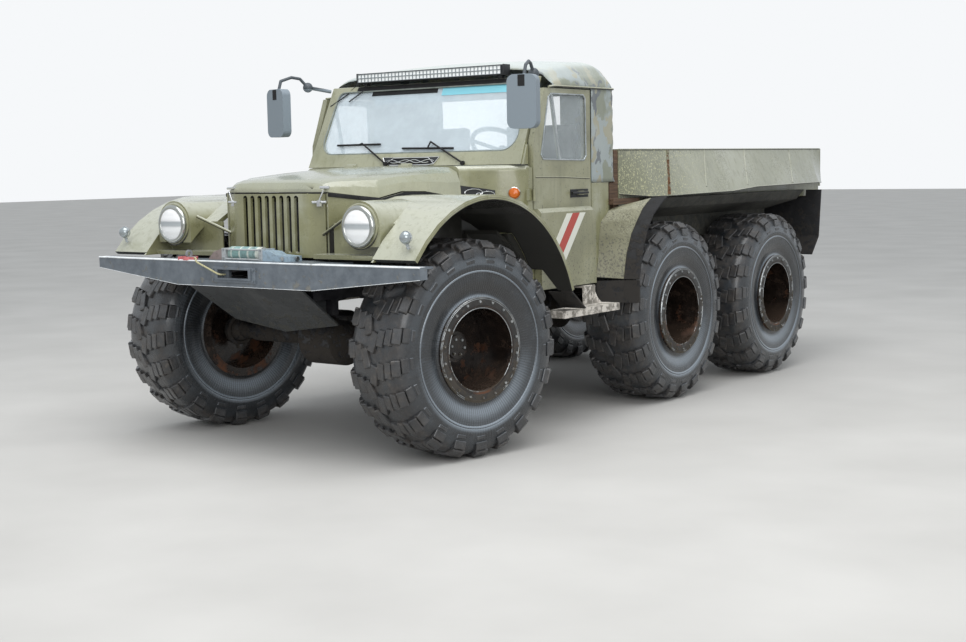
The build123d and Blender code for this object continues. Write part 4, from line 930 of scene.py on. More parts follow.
def bolt_circle(bm, count, radius_mm, at_x, high_mm):
    """Hexagon heads 16 mm wide in a circle about the wheel's axis, on a face that looks along +X."""
    for i in range(count):
        made = bmesh.ops.create_cone(bm, cap_ends=True, segments=6, radius1=8 * MM, radius2=8 * 0.86 * MM,
                                     depth=high_mm * MM)["verts"]
        bmesh.ops.rotate(bm, verts=made, cent=(0, 0, 0), matrix=Matrix.Rotation(math.pi / 2, 3, "Y"))
        bmesh.ops.translate(bm, verts=made, vec=Vector((at_x + high_mm / 2, 0, radius_mm)) * MM)
        turn = Matrix.Rotation(2 * math.pi * i / count, 3, "X")
        bmesh.ops.rotate(bm, verts=made, cent=(0, 0, 0), matrix=turn)


for corner in WHEEL_TURNS:
    bm = bmesh.new()
    bolt_circle(bm, RIM_BOLTS, RIM_BOLT_R, at_x=204, high_mm=7)
    bolt_circle(bm, HUB_NUTS, HUB_NUT_R, at_x=26, high_mm=8)
    for edge in SCUFFED_EDGES:
        spin_profile(bm, edge)
    to_wheel(bm, corner)
    finish_piece(bm, "rim_bolts_" + corner, bright_steel, "wheel_" + corner, smooth=30)
print("rim bolts:", RIM_BOLTS * len(WHEEL_TURNS))

# %% The lock ring's two faces
ring_enamel = worn_steel("dark_lock_ring_enamel", "#262422", "#1b1918", "#383532", mud="#3e3933", mud_top=200,
                         mud_none=1100, gloss=0.34)
for corner in WHEEL_TURNS:
    bm = bmesh.new()
    spin_profile(bm, [(204.0, 222), (205.2, 224), (205.2, 256), (204.2, 260)])
    before = len(bm.faces)
    spin_profile(bm, [(198, 205.5), (204.2, 206.5), (204.8, 212), (204.8, 222)])
    bm.faces.ensure_lookup_table()
    for face in bm.faces[before:]:
        face.material_index = 1
    to_wheel(bm, corner)
    finish_piece(bm, "lock_ring_" + corner, [ring_enamel, rim_enamel], "wheel_" + corner, smooth=30)
print("lock rings:", len(WHEEL_TURNS))

# %% [markdown]
# ## The canvas top
# The cab's roof, rear and rear quarters are one camouflage canvas over bows. It is made as one
# sheet: the arch over the cab is an edge line that is extruded rearwards station by station, then
# the quarters hang from it and the back closes it. Subdividing gives it enough points to sag
# between the bows and to wrinkle, and a thin Solidify gives the cloth its thickness.

# %% The arch over the cab
HEADER_Z, HEM_Z, CANVAS_X, SHOULDER_DROP = 1888, 1352, 826, 75
CANVAS_STATIONS = [
    # along the truck, height of the roof's middle, in mm
    (950, 2009), (985, 2032), (1090, 2052), (1200, 2068), (1340, 2072), (1480, 2079), (1552, 2054), (1583, 2006),
]
ARCH_SIDE = [(CANVAS_X, 0.0), (820, 0.40), (799, 0.68)]  # x, share of the way up to the shoulder
ARCH_ROOF = [(755, 52), (680, 26), (480, 11), (240, 4), (0, 0)]  # x, drop below the roof's middle


def arch_points(roof):
    """The arch in (x, z), from the header on the left over the roof to the header on the right."""
    rise = roof - SHOULDER_DROP - HEADER_Z
    half = [(x, HEADER_Z + share * rise) for x, share in ARCH_SIDE] + [(x, roof - drop) for x, drop in ARCH_ROOF]
    return half + [(-x, z) for x, z in reversed(half[:-1])]


print("points on an arch:", len(arch_points(CANVAS_STATIONS[0][1])))

# %% Extrude the sheet
QUARTERS_FROM, BACK_FROM = 1339, 1575


def extruded(bm, edges):
    """Extrudes a line of edges; gives back the new vertices and the new line."""
    made = bmesh.ops.extrude_edge_only(bm, edges=edges)["geom"]
    fresh = only(bmesh.types.BMVert, made)
    return fresh, [e for e in only(bmesh.types.BMEdge, made) if all(v in fresh for v in e.verts)]


def behind(vert, y_mm):
    """Whether a vertex lies farther back than a distance from the front axle."""
    return vert.co.y > place(0, y_mm, 0).y


def canvas_cage():
    """The roof from station to station, its quarters and its back, in a few large faces."""
    bm = bmesh.new()
    first_y, first_roof = CANVAS_STATIONS[0]
    line = [bm.verts.new(place(x, first_y, z)) for x, z in arch_points(first_roof)]
    edges = [bm.edges.new(pair) for pair in zip(line, line[1:])]
    for y, roof in CANVAS_STATIONS[1:]:
        fresh, edges = extruded(bm, edges)
        for vert, (x, z) in zip(sorted(fresh, key=lambda v: -v.co.x), arch_points(roof)):
            vert.co = place(x, y, z)
    # The quarters hang from the arch's lower edge behind the doors
    for side in (1, -1):
        edges = [e for e in bm.edges if e.is_boundary and all(
            abs(v.co.x - side * CANVAS_X * MM) < MM and behind(v, QUARTERS_FROM) for v in e.verts)]
        for height in (1710, 1530, HEM_Z):
            fresh, edges = extruded(bm, edges)
            for vert in fresh:
                vert.co.z = height * MM
                if behind(vert, BACK_FROM):
                    vert.co.y += 3 * MM
    # The back closes the arch between the quarters and their two lowest corners
    rim = [e for e in bm.edges if e.is_boundary and all(behind(v, BACK_FROM) for v in e.verts)]
    low = [v for v in bm.verts if v.co.z < (HEM_Z + 1) * MM and behind(v, BACK_FROM)]
    hem = bm.edges.new(sorted(low, key=lambda v: v.co.x))
    bmesh.ops.contextual_create(bm, geom=rim + [hem])
    return bm


bm = canvas_cage()
bmesh.ops.recalc_face_normals(bm, faces=bm.faces)
print("canvas cage faces:", len(bm.faces))

# %% Cut the rear window
WINDOW_HALF, WINDOW_LOW, WINDOW_HIGH = 450, 1560, 1865
WINDOW_CUTS = [((WINDOW_HALF, 0, 0), (1, 0, 0)), ((-WINDOW_HALF, 0, 0), (1, 0, 0)), ((0, 0, WINDOW_LOW), (0, 0, 1)),
               ((0, 0, WINDOW_HIGH), (0, 0, 1))]


def back_faces(bm):
    """The faces of the canvas back."""
    return [f for f in bm.faces if f.calc_center_median().y > place(0, BACK_FROM, 0).y and abs(f.normal.y) > 0.9]


for point, normal in WINDOW_CUTS:
    faces = back_faces(bm)
    geom = faces + list({e for f in faces for e in f.edges}) + list({v for f in faces for v in f.verts})
    bmesh.ops.bisect_plane(bm, geom=geom, plane_co=Vector(point) * MM, plane_no=normal)
inside = [f for f in back_faces(bm) if abs(f.calc_center_median().x) < WINDOW_HALF * MM
          and WINDOW_LOW * MM < f.calc_center_median().z < WINDOW_HIGH * MM]
bmesh.ops.delete(bm, geom=inside, context="FACES")
bmesh.ops.triangulate(bm, faces=[f for f in bm.faces if len(f.verts) > 4])
print("window faces cut out:", len(inside))

# %% Let it sag and wrinkle
CLOTH_CELL = 26 * MM
BOWS_Y = (985, 1280, 1552)


def subdivide_to(bm, longest):
    """Cuts every edge that is longer than the cell, a few times over."""
    for _ in range(6):
        long_edges = [e for e in bm.edges if e.calc_length() > longest]
        if not long_edges:
            break
        bmesh.ops.subdivide_edges(bm, edges=long_edges, cuts=1, use_grid_fill=True)
        bmesh.ops.triangulate(bm, faces=[f for f in bm.faces if len(f.verts) > 4])


subdivide_to(bm, CLOTH_CELL)
for _ in range(3):
    inner = [v for v in bm.verts if not v.is_boundary]
    bmesh.ops.smooth_vert(bm, verts=inner, factor=0.5, use_axis_x=True, use_axis_y=True, use_axis_z=True)
bm.normal_update()
for vert in bm.verts:
    y = (vert.co.y - FRONT_AXLE_Y) / MM
    slack = min(1.0, min(abs(y - bow) for bow in BOWS_Y) / 120)
    broad = noise.noise(vert.co * 3.0)
    folds = noise.noise(Vector((vert.co.x * 7, vert.co.y * 22, vert.co.z * 5)))
    vert.co += vert.normal * ((broad * 5.0 + folds * 3.5 - 3.0) * slack * MM)
print("canvas points:", len(bm.verts))

# %% [markdown]
# ## Camouflage canvas
# The cloth is a plain-woven cotton canvas, printed in soft blotches of grey-green, blue-grey and tan,
# and bleached by the sun. Noise warped by noise gives patches with the right ragged edges. Three
# waves a few millimetres apart give the weave, drawn coarser than the real threads so that it shows.

# %% Make the canvas
BLOTCHES = [
    # size in mm, detail, roughness, where the patch begins and ends, colour
    (110, 2.5, 0.5, 0.55, 0.57, "#8f8b73"),
    (70, 2.5, 0.5, 0.60, 0.62, "#50565c"),
]


def camouflage_canvas():
    """Printed blotches that have faded, paler on top, over a coarse weave."""
    material = new_material("camouflage_cotton_canvas", Roughness=0.88, Sheen_Weight=0.25)
    tree = material.node_tree
    at = add_node(tree, "TexCoord", output="Object")
    warp = add_node(tree, "TexNoise", at, 9.0, 4.0, output="Color")
    bent = add_node(tree, "Mix", 0.16, at, warp, data_type="VECTOR")
    bent = add_node(tree, "Mapping", bent, Scale=(1.0, 1.0, 0.45))
    patch = add_node(tree, "MapRange", add_node(tree, "TexNoise", bent, 1000 / 150, 2.0, 0.4), 0.47, 0.50)
    colour = add_node(tree, "Mix", patch, "#747968", "#8b9494", data_type="RGBA")
    for size, detail, roughness, begin, end, tone in BLOTCHES:
        patch = add_node(tree, "TexNoise", bent, 1000 / size, detail, roughness)
        colour = add_node(tree, "Mix", add_node(tree, "MapRange", patch, begin, end), colour, tone, data_type="RGBA")
    faded = add_node(tree, "MapRange", add_node(tree, "TexNoise", at, 1000 / 300, 3.0), 0.35, 0.8, 0.05, 0.45)
    colour = add_node(tree, "Mix", faded, colour, "#b4b9b6", data_type="RGBA")
    colour = add_node(tree, "Mix", upward(tree, 0.5, 1.0), colour, "#b2b8b5", data_type="RGBA")
    threads = [add_node(tree, "TexWave", at, Scale=120.0, Distortion=0.6, bands_direction=axis, output="Fac")
               for axis in "XYZ"]
    woven = add_node(tree, "Math", threads[0], threads[1], operation="ADD")
    woven = add_node(tree, "Math", woven, threads[2], operation="ADD")
    relief = add_node(tree, "Bump", Height=woven, Distance=0.6 * MM, Strength=0.4)
    return set_sockets(material, Base_Color=colour, Normal=relief)


canvas = finish_piece(bm, "canvas_top", camouflage_canvas(), "chassis", smooth=60)
thick = canvas.modifiers.new("cloth_thickness", "SOLIDIFY")
thick.thickness = 2 * MM
thick.offset = -1.0
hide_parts("soft_top")
print("canvas area:", round(sum(p.area for p in canvas.data.polygons), 2), "square metres")

# %% [markdown]
# ## Stuffed seats
# Two plain seats stand on steel boxes. A cushion is a crowned closed form, so each one starts as a
# rounded block that is a little too small, is remeshed into even small faces, and is blown up by a
# short cloth simulation. A cap on how far a point may go keeps it inside the place it has.

# %% A rounded block for a cushion
CUSHION_GAP, SWELL_CAP = 16, 14


def rounded_block(ranges):
    """A block with round edges, a gap smaller all round than its ranges in mm."""
    bm = bmesh.new()
    bmesh.ops.create_cube(bm, size=1.0)
    bmesh.ops.scale(bm, verts=bm.verts, vec=Vector([(b - a - 2 * CUSHION_GAP) * MM for a, b in ranges]))
    round_edges(bm, bm.edges[:], 26, segments=3)
    bmesh.ops.translate(bm, verts=bm.verts, vec=place(*[(a + b) / 2 for a, b in ranges]))
    return bm


print("a cushion may swell by", SWELL_CAP, "mm")

# %% Blow up a cushion
def apply_modifiers(piece):
    """Bakes a piece's modifiers into its mesh."""
    bpy.context.view_layer.update()
    shown = piece.evaluated_get(bpy.context.evaluated_depsgraph_get())
    mesh = bpy.data.meshes.new_from_object(shown)
    piece.modifiers.clear()
    piece.data = mesh


def swell(piece):
    """Even faces, then a short pressure simulation whose movement is capped."""
    remesh = piece.modifiers.new("even_faces", "REMESH")
    remesh.mode = "VOXEL"
    remesh.voxel_size = 12 * MM
    apply_modifiers(piece)
    rest = [v.co.copy() for v in piece.data.vertices]
    cloth = piece.modifiers.new("stuffing", "CLOTH")
    cloth.settings.use_pressure = True
    cloth.settings.uniform_pressure_force = 4.0
    cloth.settings.effector_weights.gravity = 0.0
    for step in range(1, 13):
        bpy.context.scene.frame_set(step)
    apply_modifiers(piece)
    bpy.context.scene.frame_set(1)
    for vert, start in zip(piece.data.vertices, rest):
        shift = vert.co - start
        if shift.length > SWELL_CAP * MM:
            vert.co = start + shift.normalized() * SWELL_CAP * MM


# %% Seat cloth
def seat_cloth():
    """A dark woven seat cloth, dusty in its folds."""
    material = new_material("woven_seat_cloth", Roughness=0.92, Sheen_Weight=0.3)
    tree = material.node_tree
    at = add_node(tree, "TexCoord", output="Object")
    folds = add_node(tree, "TexNoise", at, 1000 / 120, 5.0, 0.6)
    colour = add_node(tree, "ValToRGB", folds, steps=[(0.35, "#232427"), (0.7, "#3b3c40")])
    weave = add_node(tree, "TexWave", at, Scale=160.0, Distortion=1.0, output="Fac")
    relief = add_node(tree, "Bump", Height=weave, Distance=0.5 * MM, Strength=0.5)
    return set_sockets(material, Base_Color=colour, Normal=relief)


cloth_for_seats = seat_cloth()
print("seat cloth:", cloth_for_seats.name)

# %% The four pads
CUSHIONS = [
    # name, y range, z range in mm
    ("cushion", (1030, 1480), (1085, 1230)),
    ("backrest", (1395, 1520), (1231, 1720)),
]
SEATS = {"driver": (130, 650), "passenger": (-650, -130)}
for label, across in SEATS.items():
    for name, along, high in CUSHIONS:
        pad = finish_piece(rounded_block((across, along, high)), label + "_" + name, cloth_for_seats, "chassis",
                           smooth=0)
        swell(pad)
        pad.data.shade_smooth()
        soften = pad.modifiers.new("soft_surface", "SUBSURF")
        soften.levels = 1
        soften.render_levels = 1
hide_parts("seats")

# %% [markdown]
# ## Headlamps
# A round sealed lamp sits in a satin chrome bezel with a painted ring round it. The lens is pressed
# glass with upright flutes over a bright bowl; its colour is a painted reflection, white with a grey
# band. Each part is a profile spun about the lamp's axis: turning is how the real bezel and bowl are
# made too.

# %% Spin the lamp parts
HEADLAMP = (665, -500, 1175)
LAMP_PARTS = [
    # name, profile of (radius, forward), material
    ("headlamp_painted_ring", [(114, 0.5), (114, 4), (110, 7), (106, 8), (101, 7)], enamel),
    ("headlamp_bezel", [(104, 4), (105, 14), (103, 21), (98, 27), (90, 30), (83, 28), (81, 24)], satin_chrome),
    ("headlamp_bowl", [(82, 25), (79, 14), (64, 0), (40, -10), (14, -14), (0, -14)], chrome),
    ("headlamp_bulb", [(15, -13), (15, 4), (10, 10), (0, 12)], bulb_white),
]


def spin_lamp(bm, profile, centre, segments=32, tilt=0.0):
    """Turns an open profile of (radius, forward) points about an axis along Y through a centre."""
    made = spin_line(bm, [(radius, -forward, 0) for radius, forward in profile], (0, 1, 0), segments)
    bmesh.ops.rotate(bm, verts=made, cent=(0, 0, 0), matrix=Matrix.Rotation(math.radians(tilt), 3, "Z"))
    bmesh.ops.translate(bm, verts=made, vec=place(*centre))


for name, profile, material in LAMP_PARTS:
    bm = bmesh.new()
    spin_lamp(bm, profile, HEADLAMP, segments=48)
    both_sides(bm)
    part = finish_piece(bm, name, material, "chassis", smooth=50)
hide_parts("headlamps")
print("lamp parts:", len(LAMP_PARTS))

# %% The fluted lens
# Painted reflection on the lens: white above and below, a grey band across the middle.
LENS_REFLECTION_BANDS = [(0.0, "#eceeee"), (0.40, "#f6f7f7"), (0.46, "#b4b9bb"), (0.56, "#a4aaad"), (0.62, "#fafafa"),
              (1.0, "#ffffff")]


def fluted_glass():
    """Pressed lamp glass: upright flutes 6 mm apart, crossed by a few broad bands, with a painted reflection as its
    colour.
    """
    material = new_material("fluted_lamp_glass", Roughness=0.22, IOR=1.5, Alpha=0.92)
    tree = material.node_tree
    at = add_node(tree, "TexCoord", output="Object")
    middle = HEADLAMP[2] * MM
    height = add_node(tree, "SeparateXYZ", at, output="Z")
    colour = add_node(tree, "ValToRGB", add_node(tree, "MapRange", height, middle - 0.09, middle + 0.09),
                      steps=LENS_REFLECTION_BANDS)
    flutes = add_node(tree, "TexWave", at, Scale=52.0, bands_direction="X", output="Fac")
    bands = add_node(tree, "TexWave", at, Scale=9.0, bands_direction="Z", output="Fac")
    both = add_node(tree, "Math", flutes, bands, operation="ADD")
    relief = add_node(tree, "Bump", Height=both, Distance=1.5 * MM, Strength=0.6)
    return set_sockets(material, Base_Color=colour, Normal=relief)


bm = bmesh.new()
spin_lamp(bm, [(82, 26), (76, 29.5), (60, 34), (36, 37.5), (0, 38)], HEADLAMP, segments=48)
both_sides(bm)
finish_piece(bm, "headlamp_lens", fluted_glass(), "chassis", smooth=60)
print("bands on the lens:", len(LENS_REFLECTION_BANDS))

# %% [markdown]
# ## The light bar
# Eighty small reflector cells in two rows show on the bar's face. A grid of faces is inset one by one
# and pushed back, which is how the real moulding looks: a square cup round every diode. Behind them
# stand thin cooling fins, and a bracket closes each end.

# %% Make the cells
CELLS_LONG, CELLS_HIGH = 40, 2
BAR_HALF, BAR_Y, BAR_LOW, BAR_HIGH = 530, 865, 1967, 2015
cell_edge = new_material("grey_reflector_edge", Roughness=0.35, Base_Color="#7f8588")
cell_cup = new_material("white_reflector_cup", Roughness=0.25, Base_Color="#f2f4f4")
bm = bmesh.new()
bmesh.ops.create_grid(bm, x_segments=CELLS_LONG, y_segments=CELLS_HIGH, size=0.5)
bmesh.ops.scale(bm, verts=bm.verts, vec=Vector((2 * BAR_HALF, BAR_HIGH - BAR_LOW, 1)) * MM)
bmesh.ops.rotate(bm, verts=bm.verts, cent=(0, 0, 0), matrix=Matrix.Rotation(math.pi / 2, 3, "X"))
bmesh.ops.translate(bm, verts=bm.verts, vec=place(0, BAR_Y, (BAR_LOW + BAR_HIGH) / 2))
cells = bm.faces[:]
for inset, depth in ((2.2, 0.0), (2.5, -4.0)):
    bmesh.ops.inset_individual(bm, faces=cells, thickness=inset * MM, depth=depth * MM)
for face in cells:
    face.material_index = 1
finish_piece(bm, "light_bar_cells", [cell_edge, cell_cup], "chassis", smooth=0)
print("cells:", CELLS_LONG * CELLS_HIGH)

# %% The bar's fins and brackets
FIN_COUNT, FIN_PITCH = 44, 24
bm = bmesh.new()
for i in range(FIN_COUNT):
    x = -516 + i * FIN_PITCH
    add_box(bm, (x - 1.5, 935, 1968), (x + 1.5, 947, 2014))
for x in (-543, 543):
    made = add_box(bm, (x - 4, 871, 1960), (x + 4, 937, 2022))
    round_edges(bm, list({e for v in made for e in v.link_edges}), 3)
finish_piece(bm, "light_bar_fins", black_plastic, "chassis", smooth=30)
print("fins:", FIN_COUNT)

# %% [markdown]
# ## Rubber seal and latches
# A thick rubber band seals the bonnet. It runs under the bonnet's edge on both bay sides and across
# the nose above the grille. Two sprung T-latches hold the bonnet down at its front corners: the
# foot and the rod stay on the body, and the grip goes up with the bonnet.

# %% Lay the seal
SEAL_LINE = [(352, -396, 1338), (426, -252, 1318), (506, -160, 1303), (520, -4, 1329), (545, 160, 1326),
             (562, 339, 1300), (562, 424, 1297)]
NOSE_SEAL = [(358, -396), (286, -424), (262, -438), (-262, -438), (-286, -424), (-358, -396)]
SEAL_HIGH, SEAL_WIDE = 20, 6
bm = bmesh.new()
for (xa, ya, za), (xb, yb, zb) in zip(SEAL_LINE, SEAL_LINE[1:]):
    xa, xb = xa + 9, xb + 9
    corners = [(xa, ya, za - SEAL_HIGH), (xb, yb, zb - SEAL_HIGH), (xb, yb, zb), (xa, ya, za)]
    add_plate(bm, corners, (SEAL_WIDE, -3, 0))
both_sides(bm)
add_plate(bm, [(x, y, 1332) for x, y in NOSE_SEAL], (0, 0, 8.5))
round_edges(bm, bm.edges[:], 2)
finish_piece(bm, "bonnet_seal", seal_rubber, "chassis")
print("seal runs:", len(SEAL_LINE) - 1)

# %% Make the latches
LATCHES = ((1, 0), (-1, 44))  # side, how far the latch stands in from the left one's place
feet, grips = bmesh.new(), bmesh.new()
for side, inset in LATCHES:
    add_bar(feet, (side * (290 - inset), -434, 1291), (side * (360 - inset), -405 - inset * 0.5, 1291), 7)
    add_box(feet, (side * (328 - inset) - 10, -432, 1270), (side * (328 - inset) + 10, -404 - inset * 0.6, 1300))
    add_bar(feet, (side * (330 - inset), -430, 1293), (side * (352 - inset), -416 - inset * 0.4, 1350), 4)
    add_bar(grips, (side * (334 - inset), -421, 1365), (side * (386 - inset), -408, 1363), 6.5)
    lever = [(349, -419, 1368), (371, -412, 1368), (352, -376, 1372), (332, -378, 1376)]
    add_plate(grips, [(side * (x - inset), y, z) for x, y, z in lever], (0, 0, -9))
finish_piece(feet, "latch_feet", chrome, "chassis")
finish_piece(grips, "latch_grips", chrome, "bonnet")
print("latches:", len(LATCHES))

# %% [markdown]
# ## Vents
# A black plastic vent with a chrome wave sits on the windscreen's foot, and one with three chrome
# loops on each flared cowl side. Their outlines are flat polygons given a thickness; the chrome lines
# are thin bars along a curve's points.

# %% On the windscreen and along the cowl
SCREEN_FOOT, SCREEN_TOP = (715.0, 1460.0), (930.0, 1935.0)
COWL_WALL = [(560, 429), (640, 560), (720, 660)]


def screen_at(x, z, out):
    """A point on the windscreen's plane, out millimetres in front of it."""
    lean = (SCREEN_TOP[0] - SCREEN_FOOT[0]) / (SCREEN_TOP[1] - SCREEN_FOOT[1])
    return (x, SCREEN_FOOT[0] + (z - SCREEN_FOOT[1]) * lean - out, z)


def wall_at(along, z, out=0.0):
    """A point on the flared cowl side, from the firewall's corner on, and out of it."""
    for (xa, ya), (xb, yb) in zip(COWL_WALL, COWL_WALL[1:]):
        run = math.hypot(xb - xa, yb - ya)
        if along <= run or (xb, yb) == COWL_WALL[-1]:
            dx, dy = (xb - xa) / run, (yb - ya) / run
            return (xa + dx * along + dy * out, ya + dy * along - dx * out, z)
        along -= run


print("the screen's foot:", screen_at(0, 1460, 0))

# %% Make the vents
COWL_VENT = [(-209, 1514), (129, 1510), (177, 1478), (139, 1467), (-177, 1472)]
SIDE_VENTS = [
    [(6, 1354), (12, 1287), (112, 1277), (153.4, 1278), (153.4, 1333)],
    [(153.6, 1278), (205, 1282), (205, 1324), (153.6, 1333)],
]
LOOPS = [(112, 1296, 19, 16), (80, 1314, 52, 20), (160, 1304, 40, 15)]
vents, trim = bmesh.new(), bmesh.new()
add_plate(vents, [screen_at(x, z, 29) for x, z in COWL_VENT], (0, -5, 0))
add_run(trim, [screen_at(x, z, 34) for x, z in COWL_VENT + COWL_VENT[:1]], 2.2)
wave = [(-180 + 20 * i, 1491 + 9 * math.sin(i * 0.75)) for i in range(17)]
add_run(trim, [screen_at(x, z, 35) for x, z in wave], 2.6)
for outline in SIDE_VENTS:
    start = outline[0][0] + 5
    outward = Vector(wall_at(start, 0, 1)) - Vector(wall_at(start, 0, 0))
    add_plate(vents, [wall_at(along, z) for along, z in outline], outward * 4)
turns = [math.radians(20 * i) for i in range(19)]
for middle, height, wide, high in LOOPS:
    add_run(trim, [wall_at(middle + wide * math.cos(a), height + high * math.sin(a), 6) for a in turns], 2.4)
both_sides(vents)
both_sides(trim)
finish_piece(vents, "vent_plates", black_plastic, "chassis", smooth=30)
finish_piece(trim, "vent_chrome", chrome, "chassis")
print("chrome loops on a side:", len(LOOPS))

# %% [markdown]
# ## Fender beads and small front lamps
# The front fenders' edges are rolled, so a round bead follows each arch. Grey ball lamps on stalks
# stand on the fenders, with a hexagon nut at the foot. The round indicators on the cowl get a chrome
# ring. Both lamps stand where the solids have them.

# %% Roll the fenders' edges
BEAD_X, BEAD_STEPS = 1062, 24
bm = bmesh.new()
angles = [math.radians(161 - 122 * i / BEAD_STEPS) for i in range(BEAD_STEPS + 1)]
add_run(bm, [(BEAD_X, ARCH_Y - ARCH_R * math.cos(a), ARCH_Z + ARCH_R * math.sin(a)) for a in angles], 6)
both_sides(bm)
finish_piece(bm, "fender_beads", enamel, "chassis", smooth=50)
print("bead points:", len(angles))

# %% Nuts, rings and collars
bm = bmesh.new()
bmesh.ops.create_cone(bm, cap_ends=True, segments=6, radius1=13 * MM, radius2=13 * MM, depth=9 * MM,
                      matrix=Matrix.Translation(place(1003, -546, 1087)))
spin_lamp(bm, [(29, 2), (33, 3), (34, 7), (31, 10), (28, 8)], (748, 674.5, 1306), tilt=30)
spin_lamp(bm, [(31.6, -2), (33, -2), (33, 3), (31.6, 3)], (1001, -562, 1130))
both_sides(bm)
finish_piece(bm, "small_lamp_rings", chrome, "chassis")
print("small lamps dressed")

# %% [markdown]
# ## Winch and bumper details
# Two colours of rope lie on the drum in even turns, drawn as one spun profile with a hump for every
# turn. The bumper's paint is worn to pale metal along its bends, so thin rounded lips of worn metal
# follow its upper and lower edge and pale plates lie on its top; their near-white colour is also a
# painted highlight. A raised frame goes round the fairlead's slot.

# %% Wind the drum
DRUM_TURNS, DRUM_R, DRUM_X0, DRUM_X1 = 24, 31, -208, 28
HUMP = ((0.0, 0.0), (0.25, 3.6), (0.5, 5.0), (0.75, 3.6))  # share of a turn, height
ROPE_COLOURS = [(-188, "#c3cbc3"), (-176, "#84a3a0"), (-128, "#cfd4cb"), (-116, "#83a2a1"), (-66, "#c6ccc4"),
                (-54, "#8aa5a3"), (-8, "#c9cec6")]
rope_wound = painted_along("wound_rope", "X", "#8fa7a2", ROPE_COLOURS, gloss=0.8)
bm = bmesh.new()
step = (DRUM_X1 - DRUM_X0) / DRUM_TURNS
spin_profile(bm, [(DRUM_X0 + step * (i + share), DRUM_R + rise) for i in range(DRUM_TURNS) for share, rise in HUMP],
             40)
bmesh.ops.translate(bm, verts=bm.verts, vec=place(0, -520, 1030))
bmesh.ops.recalc_face_normals(bm, faces=bm.faces)
finish_piece(bm, "rope_on_drum", rope_wound, "chassis", smooth=60)
print("turns on the drum:", DRUM_TURNS)

# %% Bolts on the winch
bm = bmesh.new()
add_bar(bm, (196, -566, 1012), (196, -560, 1012), 11, 20)
add_bar(bm, (250, -520, 1011), (262, -520, 1011), 12, 20)
CORNER_BOLTS = [(x, -563, z) for x in (-224, 44) for z in (1006, 1050)]
for x, y, z in CORNER_BOLTS:
    add_bar(bm, (x, y - 6, z), (x, y + 2, z), 6, 6)
finish_piece(bm, "winch_bolts", bright_steel, "chassis")
print("corner bolts:", len(CORNER_BOLTS))

# %% Worn lips and painted highlights on the bumper
TOP_EDGE = [(-1138, -633, 996), (-480, -659, 996), (480, -659, 996), (1138, -633, 996)]
LOW_EDGE = [(-1138, -631, 939), (-480, -659, 869), (480, -659, 869), (1138, -631, 939)]
WORN_AND_LIT_TOP = [(480, -656, 997.2), (1136, -629, 997.2), (1136, -590, 997.2), (480, -606, 997.2)]
WORN_AND_LIT_MIDDLE = [(-480, -656, 997.2), (480, -656, 997.2), (480, -632, 997.2), (-480, -632, 997.2)]
# Bare metal worn through the paint, drawn near white so that it also paints a highlight on the edges and the top.
worn_and_lit_lip = worn_steel("bare_edge_and_painted_highlight", "#e4e8ea", "#c4c9cc", "#f4f6f6", mud="#8b8a85", mud_none=1100, gloss=0.35)
bm = bmesh.new()
add_run(bm, TOP_EDGE, 4.0)
add_run(bm, LOW_EDGE, 1.5)
for side in (1, -1):
    add_plate(bm, [(side * x, y, z) for x, y, z in WORN_AND_LIT_TOP], (0, 0, 1.2))
add_plate(bm, WORN_AND_LIT_MIDDLE, (0, 0, 0.3))
finish_piece(bm, "bumper_worn_and_lit_edges", worn_and_lit_lip, "chassis", smooth=50)
print("bumper edges:", len(TOP_EDGE) - 1)

# %% The fairlead's frame
FRAME_BARS = [(-178, 78, 957, 966), (-178, 78, 905, 914), (-178, -160, 914, 957), (60, 78, 914, 957)]
bm = bmesh.new()
for x0, x1, z0, z1 in FRAME_BARS:
    add_box(bm, (x0, -674, z0), (x1, -666, z1))
for x in (-196, 92):
    for z in (903, 957):
        add_bar(bm, (x, -675, z), (x, -667, z), 6, 6)
finish_piece(bm, "fairlead_frame", bumper_steel, "chassis", smooth=30)
print("frame bars:", len(FRAME_BARS))

# %% [markdown]
# ## Windscreen dressing
# A rubber gasket holds the glass, and a thin black strip lies over the frame's top bar. Behind the
# glass sit a dark header board and, on the glass, a blue sun strip. All of it stays inside the
# frame's thickness or a few millimetres in front of it.

# %% The gasket
def round_corner(x, z, radius, start):
    """A quarter circle of points about (x, z), from a start angle in degrees on."""
    turns = [math.radians(start + 15 * i) for i in range(7)]
    return [(x + radius * math.cos(a), z + radius * math.sin(a)) for a in turns]


GLASS_EDGE = (round_corner(630, 1630, 90, -90) + round_corner(657, 1868, 46, 0) + round_corner(-657, 1868, 46, 90)
              + round_corner(-630, 1630, 90, 180) + [(630, 1540)])
bm = bmesh.new()
add_run(bm, [screen_at(x, z, 27) for x, z in GLASS_EDGE], 4.5)
finish_piece(bm, "screen_gasket", gasket_rubber, "chassis")
print("gasket points:", len(GLASS_EDGE))

# %% Pillar feet, header and sun strip
PILLAR_FOOT = [(780, 696, 1462), (780, 742, 1462), (774, 750, 1570), (774, 744, 1570)]
sun_blue = new_material("blue_sun_strip", Roughness=0.15, Base_Color="#84c9d8", Alpha=0.9)
bm = bmesh.new()
add_plate(bm, PILLAR_FOOT, (16, 0, 0))
both_sides(bm)
finish_piece(bm, "pillar_feet", enamel, "chassis", smooth=0)
bm = bmesh.new()
add_plate(bm, [screen_at(x, z, 29.5) for x, z in ((-560, 1918), (700, 1918), (696, 1943), (-556, 1943))], (0, -2, 0))
add_plate(bm, [screen_at(x, z, 18.5) for x, z in ((-440, 1884), (60, 1884), (60, 1913), (-440, 1913))], (0, -1, 0))
finish_piece(bm, "header_boards", seal_rubber, "chassis", smooth=0)
bm = bmesh.new()
add_plate(bm, [screen_at(x, z, 18.5) for x, z in ((96, 1866), (640, 1866), (640, 1912), (96, 1912))], (0, -1, 0))
